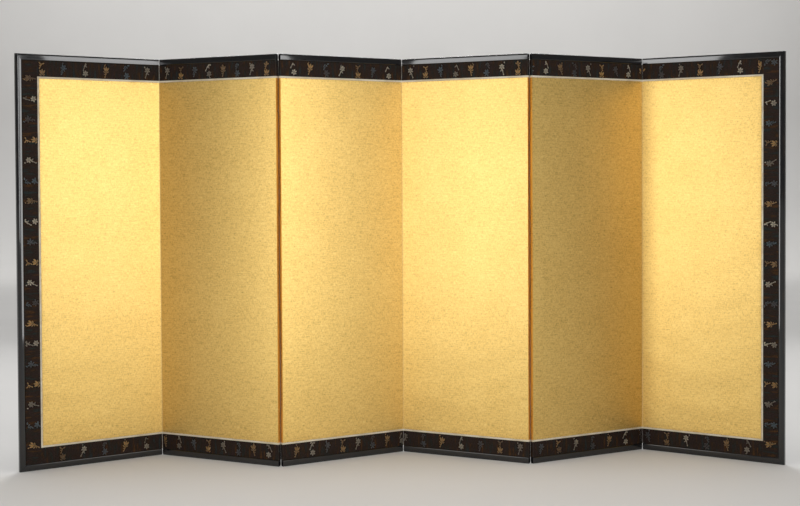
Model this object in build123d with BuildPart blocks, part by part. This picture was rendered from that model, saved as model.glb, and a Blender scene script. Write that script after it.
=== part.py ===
from build123d import *

"""A six-panel folding screen, standing in its zigzag.

Each panel is a half-lapped cedar lattice in a mortised frame, closed front and back by built-up
paper and finished with a gilded front sheet, a woven border, a pale inner border, a back paper and
bevelled lacquer rails. Paper strips join the panels. They cross each seam by turns from one
panel's front to the next one's back, so every seam can fold to either side.

+Z is up and the front faces -Y. The origin is on the floor, at the middle of the standing screen.
A panel's own frame has x along its width from its left pivot line, y up and z out of its front,
with z = 0 in the middle of its thickness.
"""
import os
from math import cos, radians, sin

# ---------------------------------------------------------------- driving dimensions (mm, degrees)
panel_height = 1720.0
inner_panel_width = 600.0  # from pivot line to pivot line
end_panel_width = 645.0  # from pivot line to the outer side of the lacquer stile
panel_headings = (34.3, -29.4, 31.6, -30.3, 30.2, -36.5)  # each panel's turn from +X at rest
still_panel = 3  # the hinges are laid out from this panel outwards

core_thickness = 13.0
underpaper_thickness = 1.0
gold_paper_thickness = 0.5
brocade_thickness = 0.7
inner_border_thickness = 1.0
back_paper_thickness = 0.5
edge_paper_thickness = 0.4  # what the front sheets add where they turn round a seam edge

rail_face = 27.0  # visible width of the lacquer rails and stiles
rail_proud = 1.0  # how far their flat land stands above the paper
rail_inner_bevel = 4.0  # width of the bevel beside the paper
rail_outer_bevel = 6.0
rail_outer_bevel_depth = 2.5

brocade_width = 65.0
inner_border_width = 8.0
strip_joint = 0.1  # gap where two border strips meet

core_member_width = 30.0
tenon_length = 14.0
tenon_thickness = 5.0
tenon_width = 20.0
joint_clearance = 0.1  # glue line all round a tenon or a half lap
upright_count = 3
crossbar_count = 9
bar_width = 11.0

peg_diameter = 4.0
peg_length = 24.0
peg_depth_in_rail = 10.0
peg_clearance = 0.15  # on the radius
rail_peg_count = 3
stile_peg_count = 5

seam_gap = 0.6  # between two panels' edges when the screen is flat
pivot_clearance = 0.25  # from the rails' flat land out to the pivot lines
hinge_paper_thickness = 0.4
hinge_paper_setback = 0.3  # how far the hinge paper ends inside the panel's faces
hinge_strip_gap = 1.0  # between one hinge strip and the next
hinge_strip_shares = (0.13, 0.245, 0.25, 0.245, 0.13)  # strip heights as shares, from the top

# ---------------------------------------------------------------- derived sizes
panel_count = len(panel_headings)
half_core = core_thickness / 2
half_underpapered = half_core + underpaper_thickness
half_panel = half_underpapered + gold_paper_thickness
half_rail = half_panel + rail_proud
pivot_offset = half_rail + pivot_clearance
seam_edge = seam_gap / 2
papered_bottom = rail_face
papered_top = panel_height - rail_face
border_width = brocade_width + inner_border_width
gold_bottom = papered_bottom + border_width
gold_top = papered_top - border_width
peg_depth_in_core = peg_length - peg_depth_in_rail


def panel_width(number):
    """Width of a panel, counted from 1 on the left."""
    if number in (1, panel_count):
        return end_panel_width
    return inner_panel_width


def along(number):
    """Unit direction of a panel's width."""
    turn = radians(panel_headings[number - 1])
    return Vector(cos(turn), sin(turn), 0)


def out_of(number):
    """Unit direction out of a panel's front."""
    turn = radians(panel_headings[number - 1])
    return Vector(sin(turn), -cos(turn), 0)


def is_valley(seam):
    """Whether a seam, named after the panel on its left, folds the fronts together."""
    return seam % 2 == 1


def standing_points():
    """Floor point in the middle of each panel's left pivot side, chained from panel 1."""
    points = [Vector(0, 0, 0)]
    for number in range(1, panel_count):
        side = pivot_offset if is_valley(number) else -pivot_offset
        pivot = points[-1] + along(number) * panel_width(number) + out_of(number) * side
        points.append(pivot - out_of(number + 1) * side)
    return points


def middle_of(points):
    """Middle of the standing screen's outline on the floor."""
    outline = []
    for number, point in enumerate(points, start=1):
        for reach in (0, panel_width(number)):
            for side in (-half_rail, half_rail):
                outline.append(point + along(number) * reach + out_of(number) * side)
    xs = [corner.X for corner in outline]
    ys = [corner.Y for corner in outline]
    return Vector((min(xs) + max(xs)) / 2, (min(ys) + max(ys)) / 2, 0)


def panel_planes():
    """Each panel's own frame at rest."""
    points = standing_points()
    middle = middle_of(points)
    planes = []
    for number, point in enumerate(points, start=1):
        planes.append(Plane(origin=point - middle, x_dir=along(number), z_dir=out_of(number)))
    return planes


class Panel:
    """One panel's number, frame and the places that its pieces share."""

    def __init__(self, number, plane):
        self.number = number
        self.plane = plane
        self.width = panel_width(number)
        self.left_stile = number == 1
        self.right_stile = number == panel_count
        # the papered width, out to the skin that turns round each seam edge
        self.left = rail_face if self.left_stile else seam_edge
        self.right = self.width - (rail_face if self.right_stile else seam_edge)
        # the wooden core, inside that skin
        self.core_left = self.left + (0 if self.left_stile else edge_paper_thickness)
        self.core_right = self.right - (0 if self.right_stile else edge_paper_thickness)

    def name(self, piece):
        """Node name of one of this panel's pieces."""
        return f"panel_{self.number}_{piece}"

    def face(self, height):
        """Plane parallel to the panel's front, at a height above the middle of its thickness."""
        return self.plane.offset(height)

    def level(self, x, y):
        """Horizontal plane through a point of the panel, with its x along the panel."""
        origin = self.plane.from_local_coords(Vector(x, y, 0))
        return Plane(origin=origin, x_dir=self.plane.x_dir, z_dir=(0, 0, 1))

    def upright(self, x, y, toward=1):
        """Plane across the panel's width through a point, looking along or against the width."""
        origin = self.plane.from_local_coords(Vector(x, y, 0))
        return Plane(origin=origin, x_dir=(0, 0, 1), z_dir=self.plane.x_dir * toward)


def rectangle(x0, x1, y0, y1):
    """Rectangle between two corners, in the sketch that is open."""
    with Locations(((x0 + x1) / 2, (y0 + y1) / 2)):
        Rectangle(x1 - x0, y1 - y0)


def slab(panel, x0, x1, y0, y1, z0, z1, mode=Mode.ADD):
    """Box in the panel's own frame, in the part that is open."""
    with BuildSketch(panel.face(z0)) as outline:
        rectangle(x0, x1, y0, y1)
    extrude(outline.sketch, amount=z1 - z0, mode=mode)


def evenly(start, end, count):
    """Places of count pieces spread evenly between two ends."""
    pitch = (end - start) / (count + 1)
    return [start + pitch * (n + 1) for n in range(count)]


def save(piece, name):
    """Labels a finished piece and writes its file."""
    piece.label = name
    export_step(piece, f"parts/{name}.step")


# ---------------------------------------------------------------- wooden core
def between_stiles(panel, clearance=0.0):
    """The core's open width between its two stiles, less a clearance at each."""
    left = panel.core_left + core_member_width + clearance
    right = panel.core_right - core_member_width - clearance
    return left, right


def core_rail_middles():
    """Heights of the two core rails' centre lines."""
    return papered_bottom + core_member_width / 2, papered_top - core_member_width / 2


def rail_peg_places(panel):
    """Where pegs go up or down through the lacquer rails, along the width."""
    left, right = between_stiles(panel)
    return evenly(left, right, rail_peg_count)


def peg_holes(planes, radius, depth):
    """Round holes that go depth deep into the open part, one from each plane."""
    for plane in planes:
        with BuildSketch(plane) as mouth:
            Circle(radius)
        extrude(mouth.sketch, amount=depth, mode=Mode.SUBTRACT)


def rail_peg_planes(panel):
    """Planes at the core's top and bottom edges, looking into the core at each rail peg."""
    planes = []
    for x in rail_peg_places(panel):
        foot = panel.level(x, papered_bottom)
        head = panel.level(x, papered_top)
        planes.append(foot)
        planes.append(Plane(origin=head.origin, x_dir=head.x_dir, z_dir=(0, 0, -1)))
    return planes


def stile_peg_planes(panel):
    """Planes at the core's outer edge on an end panel, looking into the core at each stile peg."""
    heights = evenly(papered_bottom, papered_top, stile_peg_count)
    if panel.left_stile:
        return [panel.upright(panel.left, height) for height in heights]
    if panel.right_stile:
        return [panel.upright(panel.right, height, toward=-1) for height in heights]
    return []


def opposite(plane):
    """The same plane seen from its other side."""
    return Plane(origin=plane.origin, x_dir=plane.x_dir, z_dir=plane.z_dir * -1)


def build_core_stiles(panel):
    """Two stiles with blind mortises for the rails' tenons."""
    left, right = between_stiles(panel)
    depth = tenon_length + joint_clearance
    half_width = tenon_width / 2 + joint_clearance
    half_mortise = tenon_thickness / 2 + joint_clearance
    with BuildPart() as stiles:
        for x in (panel.core_left, right):
            slab(panel, x, x + core_member_width, papered_bottom, papered_top, -half_core, half_core)
        for x in (left - depth, right):
            for y in core_rail_middles():
                slab(panel, x, x + depth, y - half_width, y + half_width, -half_mortise, half_mortise,
                     mode=Mode.SUBTRACT)
    return stiles.part


def build_core_rails(panel):
    """Two rails with a tenon at each end."""
    left, right = between_stiles(panel, joint_clearance)
    half_rail_width = core_member_width / 2
    half_width = tenon_width / 2
    half_tenon = tenon_thickness / 2
    with BuildPart() as rails:
        for y in core_rail_middles():
            slab(panel, left, right, y - half_rail_width, y + half_rail_width, -half_core, half_core)
            slab(panel, left - tenon_length, right + tenon_length, y - half_width, y + half_width,
                 -half_tenon, half_tenon)
    return rails.part


def build_core_frame(panel):
    """Frame of the lattice, with the bamboo pegs that hold the lacquer rails on."""
    stiles = build_core_stiles(panel)
    rails = build_core_rails(panel)
    holes = rail_peg_planes(panel) + stile_peg_planes(panel)
    with BuildPart() as core_frame:
        add(stiles)
        add(rails)
        peg_holes(holes, peg_diameter / 2 + peg_clearance, peg_depth_in_core + joint_clearance)
        for plane in holes:
            with BuildSketch(plane.offset(-peg_depth_in_rail)):
                Circle(peg_diameter / 2)
            extrude(amount=peg_length)
    save(core_frame.part, panel.name("core_frame"))


def build_lattice(panel):
    """Uprights and crossbars, half lapped where they cross."""
    left, right = between_stiles(panel, joint_clearance)
    bottom = papered_bottom + core_member_width + joint_clearance
    top = papered_top - core_member_width - joint_clearance
    uprights = evenly(left, right, upright_count)
    crossbars = evenly(bottom, top, crossbar_count)
    half_bar = bar_width / 2
    half_notch = half_bar + joint_clearance
    half_glue = joint_clearance / 2
    with BuildPart() as standing:
        for x in uprights:
            slab(panel, x - half_bar, x + half_bar, bottom, top, -half_core, half_core)
        for y in crossbars:
            slab(panel, left, right, y - half_notch, y + half_notch, -half_glue, half_core,
                 mode=Mode.SUBTRACT)
    with BuildPart() as lying:
        for y in crossbars:
            slab(panel, left, right, y - half_bar, y + half_bar, -half_core, half_core)
        for x in uprights:
            slab(panel, x - half_notch, x + half_notch, bottom, top, -half_core, half_glue,
                 mode=Mode.SUBTRACT)
    with BuildPart() as lattice:
        add(standing.part)
        add(lying.part)
    save(lattice.part, panel.name("lattice"))


# ---------------------------------------------------------------- papers and borders
def build_underpapers(panel):
    """Built-up paper that closes the lattice on both sides."""
    with BuildPart() as underpapers:
        for low, high in ((half_core, half_underpapered), (-half_underpapered, -half_core)):
            slab(panel, panel.core_left, panel.core_right, papered_bottom, papered_top, low, high)
    save(underpapers.part, panel.name("underpapers"))


def front_sheet(panel, left, right, low, high, thickness):
    """Sheet on the panel's front that turns back round each seam edge that it reaches."""
    slab(panel, left, right, low, high, half_underpapered, half_underpapered + thickness)
    if left == panel.left and not panel.left_stile:
        slab(panel, panel.left, panel.core_left, low, high, -half_underpapered, half_underpapered)
    if right == panel.right and not panel.right_stile:
        slab(panel, panel.core_right, panel.right, low, high, -half_underpapered, half_underpapered)


def bordered_range(panel, inset):
    """Left and right ends of what lies inside a border, which runs down only the screen's two ends."""
    left = panel.left + (inset if panel.left_stile else 0)
    right = panel.right - (inset if panel.right_stile else 0)
    return left, right


def border(panel, inset, width, thickness):
    """Strips along the top and bottom, and down the outer side of an end panel, inset from the rails."""
    left, right = bordered_range(panel, inset)
    low = papered_bottom + inset
    high = papered_top - inset
    inner_left, inner_right = bordered_range(panel, inset + width + strip_joint)
    front_sheet(panel, inner_left, inner_right, low, low + width, thickness)
    front_sheet(panel, inner_left, inner_right, high - width, high, thickness)
    if panel.left_stile:
        front_sheet(panel, left, left + width, low, high, thickness)
    if panel.right_stile:
        front_sheet(panel, right - width, right, low, high, thickness)


def build_gold_ground(panel):
    """Gilded paper inside the borders."""
    left, right = bordered_range(panel, border_width)
    with BuildPart() as gold_ground:
        front_sheet(panel, left, right, gold_bottom, gold_top, gold_paper_thickness)
    save(gold_ground.part, panel.name("gold_ground"))


def build_brocade_border(panel):
    """Woven silk border next to the lacquer rails."""
    with BuildPart() as brocade_border:
        border(panel, 0, brocade_width, brocade_thickness)
    save(brocade_border.part, panel.name("brocade_border"))


def build_inner_border(panel):
    """Narrow pale border between the brocade and the gold."""
    with BuildPart() as inner_border:
        border(panel, brocade_width, inner_border_width, inner_border_thickness)
    save(inner_border.part, panel.name("inner_border"))


def build_back_cover(panel):
    """Printed paper over the whole back."""
    with BuildPart() as back_cover:
        slab(panel, panel.left, panel.right, papered_bottom, papered_top,
             -half_underpapered - back_paper_thickness, -half_underpapered)
    save(back_cover.part, panel.name("back_cover"))


# ---------------------------------------------------------------- lacquer frame
def rail_section(plane):
    """Section of a lacquer rail on a plane: x from the paper outwards, y through its thickness."""
    land_start = rail_inner_bevel
    land_end = rail_face - rail_outer_bevel
    half_outer = half_rail - rail_outer_bevel_depth
    with BuildSketch(plane) as section:
        with BuildLine():
            Polyline(
                (0, -half_panel),
                (0, half_panel),
                (land_start, half_rail),
                (land_end, half_rail),
                (rail_face, half_outer),
                (rail_face, -half_outer),
                (land_end, -half_rail),
                (land_start, -half_rail),
                close=True,
            )
        make_face()
    return section.sketch


def rail_ends(panel):
    """How far a lacquer rail reaches along the width, out to the mitre tip on an end panel."""
    left = 0 if panel.left_stile else seam_edge
    right = panel.width - (0 if panel.right_stile else seam_edge)
    return left, right


def mitre(panel, x, y, keep):
    """Keeps one side of the slanting plane from the paper's corner at (x, y) to the frame's corner."""
    origin = panel.plane.from_local_coords(Vector(x, y, 0))
    outside_x = -1 if x < panel.width / 2 else 1
    outside_y = -1 if y < panel_height / 2 else 1
    toward_rail = panel.plane.x_dir * -outside_x + Vector(0, 0, 1) * outside_y
    across = Plane(origin=origin, z_dir=toward_rail)
    split(bisect_by=across, keep=keep)


def build_lacquer_rail(panel, at_top):
    """One lacquer rail, mitred where it meets an end stile."""
    left, right = rail_ends(panel)
    y = papered_top if at_top else papered_bottom
    start = panel.plane.from_local_coords(Vector(left, y, 0))
    outward = (0, 0, 1 if at_top else -1)
    profile = Plane(origin=start, x_dir=outward, z_dir=panel.plane.x_dir)
    with BuildPart() as rail:
        extrude(rail_section(profile), amount=right - left)
        if panel.left_stile:
            mitre(panel, panel.left, y, Keep.TOP)
        if panel.right_stile:
            mitre(panel, panel.right, y, Keep.TOP)
        holes = []
        for x in rail_peg_places(panel):
            seat = panel.level(x, y)
            holes.append(seat if at_top else opposite(seat))
        peg_holes(holes, peg_diameter / 2 + peg_clearance, peg_depth_in_rail + joint_clearance)
    return rail.part


def build_lacquer_stile(panel):
    """The end panel's outer stile, mitred at both ends."""
    x = panel.left if panel.left_stile else panel.right
    outward = panel.plane.x_dir * (-1 if panel.left_stile else 1)
    start = panel.plane.from_local_coords(Vector(x, 0, 0))
    with BuildPart() as stile:
        extrude(rail_section(Plane(origin=start, x_dir=outward, z_dir=(0, 0, 1))), amount=panel_height)
        mitre(panel, x, papered_top, Keep.BOTTOM)
        mitre(panel, x, papered_bottom, Keep.BOTTOM)
        holes = [opposite(plane) for plane in stile_peg_planes(panel)]
        peg_holes(holes, peg_diameter / 2 + peg_clearance, peg_depth_in_rail + joint_clearance)
    return stile.part


def build_lacquer_frame(panel):
    """Lacquer rails of one panel, and the stile that an end panel has as well."""
    with BuildPart() as lacquer_rails:
        add(build_lacquer_rail(panel, at_top=True))
        add(build_lacquer_rail(panel, at_top=False))
    save(lacquer_rails.part, panel.name("lacquer_rails"))
    if panel.left_stile or panel.right_stile:
        save(build_lacquer_stile(panel), panel.name("lacquer_stile"))


# ---------------------------------------------------------------- paper hinges
def hinge_strip_heights():
    """Each hinge strip's (low, high), from the top down."""
    papered = papered_top - papered_bottom
    top = papered_top
    heights = []
    for share in hinge_strip_shares:
        low = top - share / sum(hinge_strip_shares) * papered
        heights.append((low + hinge_strip_gap / 2, top - hinge_strip_gap / 2))
        top = low
    return heights


def build_hinge_strips(panel, x, strips, name):
    """Hinge paper that lies along a panel's edge at x, between the two panels."""
    half_paper = hinge_paper_thickness / 2
    reach = half_panel - hinge_paper_setback
    with BuildPart() as hinge_paper:
        for low, high in strips:
            slab(panel, x - half_paper, x + half_paper, low, high, -reach, reach)
    save(hinge_paper.part, name)


def build_hinge(seam, panels):
    """Both sets of a seam's strips, each lying at rest along one of the two panels' edges.

    The odd strips run from the front of the near panel, the one toward the still panel, to the
    back of the far one. The even strips run from the near panel's back to the far one's front.
    """
    left, right = panels[seam - 1], panels[seam]
    near, far = (left, right) if seam >= still_panel else (right, left)
    odd_on, even_on = (far, near) if is_valley(seam) else (near, far)
    heights = hinge_strip_heights()
    for panel, strips, kind in ((odd_on, heights[0::2], "odd"), (even_on, heights[1::2], "even")):
        x = panel.width if panel is left else 0
        build_hinge_strips(panel, x, strips, f"hinge_{seam}_{seam + 1}_{kind}_strips")


def main():
    """Builds every piece and writes its file."""
    os.makedirs("parts", exist_ok=True)
    panels = [Panel(number, plane) for number, plane in enumerate(panel_planes(), start=1)]
    for panel in panels:
        build_core_frame(panel)
        build_lattice(panel)
        build_underpapers(panel)
        build_gold_ground(panel)
        build_brocade_border(panel)
        build_inner_border(panel)
        build_back_cover(panel)
        build_lacquer_frame(panel)
    for seam in range(1, panel_count):
        build_hinge(seam, panels)


main()
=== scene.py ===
"""A six-panel gilded folding screen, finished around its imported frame.

Every length is in metres. +Z is up and the gilded fronts face -Y. A panel's own frame has x along
its width from its left pivot line, y up and z out of its gilded front, with z = 0 in the middle of
its thickness. A strip of cloth or lacquer has a frame of its own, with x along its run.
"""

import logging
import math
from collections.abc import Callable, Sequence
from dataclasses import dataclass, field
from enum import Enum
from functools import reduce

import bpy
import numpy as np
from mathutils import Matrix, Vector, noise


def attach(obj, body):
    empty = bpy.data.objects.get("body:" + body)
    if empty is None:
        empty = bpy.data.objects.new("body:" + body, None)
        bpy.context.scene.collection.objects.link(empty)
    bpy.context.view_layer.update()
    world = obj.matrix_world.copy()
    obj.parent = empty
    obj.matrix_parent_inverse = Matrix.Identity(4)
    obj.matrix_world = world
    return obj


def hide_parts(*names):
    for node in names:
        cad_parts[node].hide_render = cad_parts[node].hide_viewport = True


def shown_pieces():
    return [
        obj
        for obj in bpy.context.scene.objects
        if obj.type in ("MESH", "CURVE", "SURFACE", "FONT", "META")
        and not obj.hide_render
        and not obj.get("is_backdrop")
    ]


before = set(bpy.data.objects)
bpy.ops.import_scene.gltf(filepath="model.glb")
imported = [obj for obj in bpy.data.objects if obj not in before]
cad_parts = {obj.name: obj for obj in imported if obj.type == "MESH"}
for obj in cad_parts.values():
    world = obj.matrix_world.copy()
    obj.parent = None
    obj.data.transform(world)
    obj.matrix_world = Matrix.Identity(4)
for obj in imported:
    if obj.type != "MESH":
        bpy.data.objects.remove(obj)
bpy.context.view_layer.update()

log = logging.getLogger("folding_screen")
Socket = bpy.types.NodeSocket
Feed = Socket | float | int | bool | str | tuple | bpy.types.ID
Material = bpy.types.Material
Piece = bpy.types.Object
Colour = tuple[float, float, float]
Place = tuple[float, float, float]
Pair = tuple[float, float]
Relief = Callable[[float, float], float]

MM = 0.001
PICTURE_WIDTH = 800
QUARTER_TURN = Matrix.Rotation(math.pi / 2, 4, "Z")


# ---- sizes and choices
@dataclass(frozen=True)
class ScreenSizes:
    """Sizes that the panels share, in metres.

    Heights that end in face, land or pivot are measured out from the middle of a panel's thickness.

    Args:
        height: of a panel.
        inner_width: of panels 2 to 5, from pivot line to pivot line.
        end_width: of panels 1 and 6, out to the lacquer stile's outer side.
        headings: each panel's turn from +X, in degrees.
        rail_face: width of a lacquer rail's or stile's face.
        half_paper: outer side of the under papers.
        gold_face: surface of the gilded paper and of the printed back.
        brocade_face: surface of the brocade.
        inner_border_face: surface of the inner border.
        rail_land: the lacquer's broad face.
        pivot: the pivot lines.
        seam_edge: how far short of its pivot line a panel's papered width ends.
        brocade_width: of a brocade strip.
        inner_border_width: of an inner border strip.
        strip_joint: gap between two strips that meet at a corner.
    """

    height: float = 1.720
    inner_width: float = 0.600
    end_width: float = 0.645
    headings: tuple[float, ...] = (34.3, -29.4, 31.6, -30.3, 30.2, -36.5)
    rail_face: float = 0.027
    half_paper: float = 0.0075
    gold_face: float = 0.0080
    brocade_face: float = 0.0082
    inner_border_face: float = 0.0085
    rail_land: float = 0.0090
    pivot: float = 0.00925
    seam_edge: float = 0.0003
    brocade_width: float = 0.065
    inner_border_width: float = 0.008
    strip_joint: float = 0.0001

    @property
    def papered_low(self) -> float:
        """Height of the papers' bottom edge."""
        return self.rail_face

    @property
    def papered_high(self) -> float:
        """Height of the papers' top edge."""
        return self.height - self.rail_face

    @property
    def border(self) -> float:
        """Width of the brocade and the inner border together."""
        return self.brocade_width + self.inner_border_width

    @property
    def gold_low(self) -> float:
        """Height of the gilded ground's bottom edge."""
        return self.papered_low + self.border

    @property
    def gold_high(self) -> float:
        """Height of the gilded ground's top edge."""
        return self.papered_high - self.border


SIZES = ScreenSizes()


class Hue(Enum):
    """Colours of the woven figures, numbered as the figures' motifs are."""

    GOLD = 0
    BLUE = 1
    CREAM = 2


class Drift(Enum):
    """Order in which the figures' colours follow each other along a strip."""

    BLUE_NEXT = 1
    CREAM_NEXT = 2


class Run(Enum):
    """Which edge of a panel a border strip or a lacquer bar lies along."""

    TOP = "top"
    BOTTOM = "bottom"
    LEFT = "left"
    RIGHT = "right"


def facing(turn: float) -> tuple[Vector, Vector]:
    """Directions along a panel and out of its front, for its turn from +X in radians."""
    return Vector((math.cos(turn), math.sin(turn), 0)), Vector((math.sin(turn), -math.cos(turn), 0))


@dataclass(frozen=True)
class Panel:
    """One panel's place in the standing screen.

    Args:
        number: counted from 1 on the left.
        origin: floor point in the middle of the left pivot side.
        heading: turn from +X, in radians.
        width: from the left pivot line to the right one, or to a stile's outer side.
    """

    number: int
    origin: Vector
    heading: float
    width: float

    @property
    def body(self) -> str:
        """Name of the body that the panel's pieces ride on."""
        return f"panel_{self.number}"

    @property
    def left_stile(self) -> bool:
        """Whether a lacquer stile closes the panel's left side."""
        return self.number == 1

    @property
    def right_stile(self) -> bool:
        """Whether a lacquer stile closes the panel's right side."""
        return self.number == len(SIZES.headings)

    @property
    def left(self) -> float:
        """Left end of the papered width."""
        return SIZES.rail_face if self.left_stile else SIZES.seam_edge

    @property
    def right(self) -> float:
        """Right end of the papered width."""
        return self.width - (SIZES.rail_face if self.right_stile else SIZES.seam_edge)

    @property
    def standing(self) -> Matrix:
        """Turns the panel's own frame into the screen's.

        Returns:
            The matrix.
        """
        along, out = facing(self.heading)
        place = Matrix((along, Vector((0, 0, 1)), out)).transposed().to_4x4()
        place.translation = self.origin
        return place

    def inside(self, inset: float) -> Pair:
        """Left and right ends of what lies inside a border that only the screen's ends have.

        Args:
            inset: width of that border.

        Returns:
            The two x places.
        """
        left = self.left + (inset if self.left_stile else 0)
        right = self.right - (inset if self.right_stile else 0)
        return left, right


def standing_panels() -> list[Panel]:
    """Chains the panels pivot to pivot and centres them on the origin.

    Returns:
        The panels from left to right.
    """
    turns = [math.radians(h) for h in SIZES.headings]
    along, out = zip(*(facing(turn) for turn in turns))
    widths = [SIZES.inner_width] * len(turns)
    widths[0] = widths[-1] = SIZES.end_width
    points = [Vector((0, 0, 0))]
    for n in range(len(turns) - 1):
        side = SIZES.pivot if n % 2 == 0 else -SIZES.pivot
        pivot = points[-1] + along[n] * widths[n] + out[n] * side
        points.append(pivot - out[n + 1] * side)
    corners = [
        p + a * reach + o * side
        for p, a, o, w in zip(points, along, out, widths)
        for reach in (0, w)
        for side in (-SIZES.rail_land, SIZES.rail_land)
    ]
    low, high = [[end(corner[axis] for corner in corners) for axis in (0, 1)] for end in (min, max)]
    middle = Vector(((low[0] + high[0]) / 2, (low[1] + high[1]) / 2, 0))
    return [Panel(n + 1, points[n] - middle, turns[n], widths[n]) for n in range(len(turns))]


# ---- node trees
class Graph:
    """Short calls for laying out a node tree."""

    def __init__(self, tree: bpy.types.NodeTree) -> None:
        """Keeps the tree that the calls add to."""
        self.tree = tree

    def feed(self, socket: Socket, value: Feed) -> None:
        """Links a socket to another one, or sets its own value.

        Args:
            socket: the input.
            value: an output socket, or what the input is set to, such as a colour without alpha.
        """
        if isinstance(value, Socket):
            self.tree.links.new(value, socket)
        else:
            socket.default_value = (*value, 1.0) if socket.type == "RGBA" else value

    def add(self, kind: str, feeds: dict | None = None, **settings: object) -> bpy.types.Node:
        """Adds one node.

        Args:
            kind: the node's type name.
            feeds: inputs by name or number.
            settings: properties of the node.

        Returns:
            The node.
        """
        node = self.tree.nodes.new(kind)
        for name, value in settings.items():
            setattr(node, name, value)
        for key, value in (feeds or {}).items():
            self.feed(node.inputs[key], value)
        return node

    def calc(self, operation: str, *values: Feed) -> Socket:
        """Result of a math node, from its operation and its inputs in order."""
        return self.add("ShaderNodeMath", dict(enumerate(values)), operation=operation).outputs[0]

    def plus(self, *values: Feed) -> Socket:
        """Sum of two or more values."""
        return reduce(lambda first, second: self.calc("ADD", first, second), values)

    def times(self, *values: Feed) -> Socket:
        """Product of two or more values."""
        return reduce(lambda first, second: self.calc("MULTIPLY", first, second), values)

    def minus(self, first: Feed, second: Feed) -> Socket:
        """First value less the second."""
        return self.calc("SUBTRACT", first, second)

    def over(self, first: Feed, second: Feed) -> Socket:
        """First value divided by the second."""
        return self.calc("DIVIDE", first, second)

    def near(self, value: Feed, middle: Feed, reach: float) -> Socket:
        """1 where a value is less than a reach away from a middle, and 0 elsewhere."""
        return self.calc("LESS_THAN", self.calc("ABSOLUTE", self.minus(value, middle)), reach)

    def parts(self, vector: Socket) -> tuple[Socket, Socket, Socket]:
        """The x, y and z of a vector."""
        out = self.add("ShaderNodeSeparateXYZ", {0: vector}).outputs
        return out[0], out[1], out[2]

    def joined(self, x: Feed, y: Feed, z: Feed) -> Socket:
        """A vector from its x, y and z."""
        return self.add("ShaderNodeCombineXYZ", {0: x, 1: y, 2: z}).outputs[0]


class Coating(Graph):
    """One material and its nodes."""

    def __init__(self, name: str, on_surface: bool = True, turn: float = 0.0) -> None:
        """Starts a material.

        Args:
            name: the material's name.
            on_surface: whether patterns follow the piece's UV map, in metres, or its object space.
            turn: turn of the pattern about z, in radians.
        """
        self.material = bpy.data.materials.new(name)
        self.material.use_nodes = True
        super().__init__(self.material.node_tree)
        self.surface = self.tree.nodes["Principled BSDF"]
        source = self.add("ShaderNodeTexCoord").outputs["UV" if on_surface else "Object"]
        self.place = self.add("ShaderNodeMapping", {"Vector": source, "Rotation": (0, 0, turn)}).outputs[0]

    def set(self, **values: Feed) -> None:
        """Sets the surface's inputs, named with underscores for spaces."""
        for name, value in values.items():
            self.feed(self.surface.inputs[name.replace("_", " ")], value)

    def carried(self, name: str) -> Socket:
        """Value that the piece's points carry under a name."""
        return self.add("ShaderNodeAttribute", attribute_name=name).outputs["Fac"]

    def scaled(self, x: float, y: float, z: float) -> Socket:
        """The pattern's place, stretched along each axis."""
        return self.add("ShaderNodeMapping", {"Vector": self.place, "Scale": (x, y, z)}).outputs[0]

    def cloud(self, size: float, detail: float = 2.0, ratio: Pair = (1, 1),
              rough: float = 0.5, twist: float = 0.0) -> Socket:
        """Soft noise.

        Args:
            size: size of its spots, in metres.
            detail: how many finer layers it has.
            ratio: how much longer the spots are along x and y.
            rough: weight of the finer layers.
            twist: how much it is distorted.

        Returns:
            The noise, from 0 to 1.
        """
        where = self.scaled(1 / (size * ratio[0]), 1 / (size * ratio[1]), 1 / size)
        return self.add("ShaderNodeTexNoise", {
            "Vector": where, "Scale": 1.0, "Detail": detail, "Roughness": rough, "Distortion": twist,
        }).outputs["Fac"]

    def ramp(self, value: Feed, *stops: tuple[float, Colour]) -> Socket:
        """Colour that a value stands for.

        Args:
            value: from 0 to 1.
            stops: places and their colours.

        Returns:
            The colour's socket.
        """
        node = self.add("ShaderNodeValToRGB", {0: value})
        elements = node.color_ramp.elements
        while len(elements) < len(stops):
            elements.new(1.0)
        for element, (place, colour) in zip(elements, stops):
            element.position = place
            element.color = (*colour, 1.0)
        return node.outputs["Color"]

    def range(self, value: Feed, low: float, high: float, to_low: float, to_high: float) -> Socket:
        """A value carried from one range to another and kept inside it."""
        return self.add("ShaderNodeMapRange", {0: value, 1: low, 2: high, 3: to_low, 4: to_high}).outputs[0]

    def mix(self, share: Feed, first: Feed, second: Feed, blend: str = "MIX") -> Socket:
        """A colour with a share of a second one blended over it."""
        feeds = {0: share, 6: first, 7: second}
        return self.add("ShaderNodeMix", feeds, data_type="RGBA", blend_type=blend).outputs[2]

    def toned(self, colour: Feed, tone: Socket) -> Socket:
        """A colour made lighter or darker by a number round 1."""
        return self.mix(1.0, colour, self.joined(tone, tone, tone), "MULTIPLY")

    def relief(self, height: Socket, depth: float) -> None:
        """Adds bump to what the surface has.

        Args:
            height: from 0 to 1.
            depth: how deep the relief is, in metres.
        """
        bump = self.add("ShaderNodeBump", {"Height": height, "Distance": depth, "Strength": 1.0})
        into = self.surface.inputs["Normal"]
        if into.is_linked:
            self.feed(bump.inputs["Normal"], into.links[0].from_socket)
        self.feed(into, bump.outputs[0])


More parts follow.
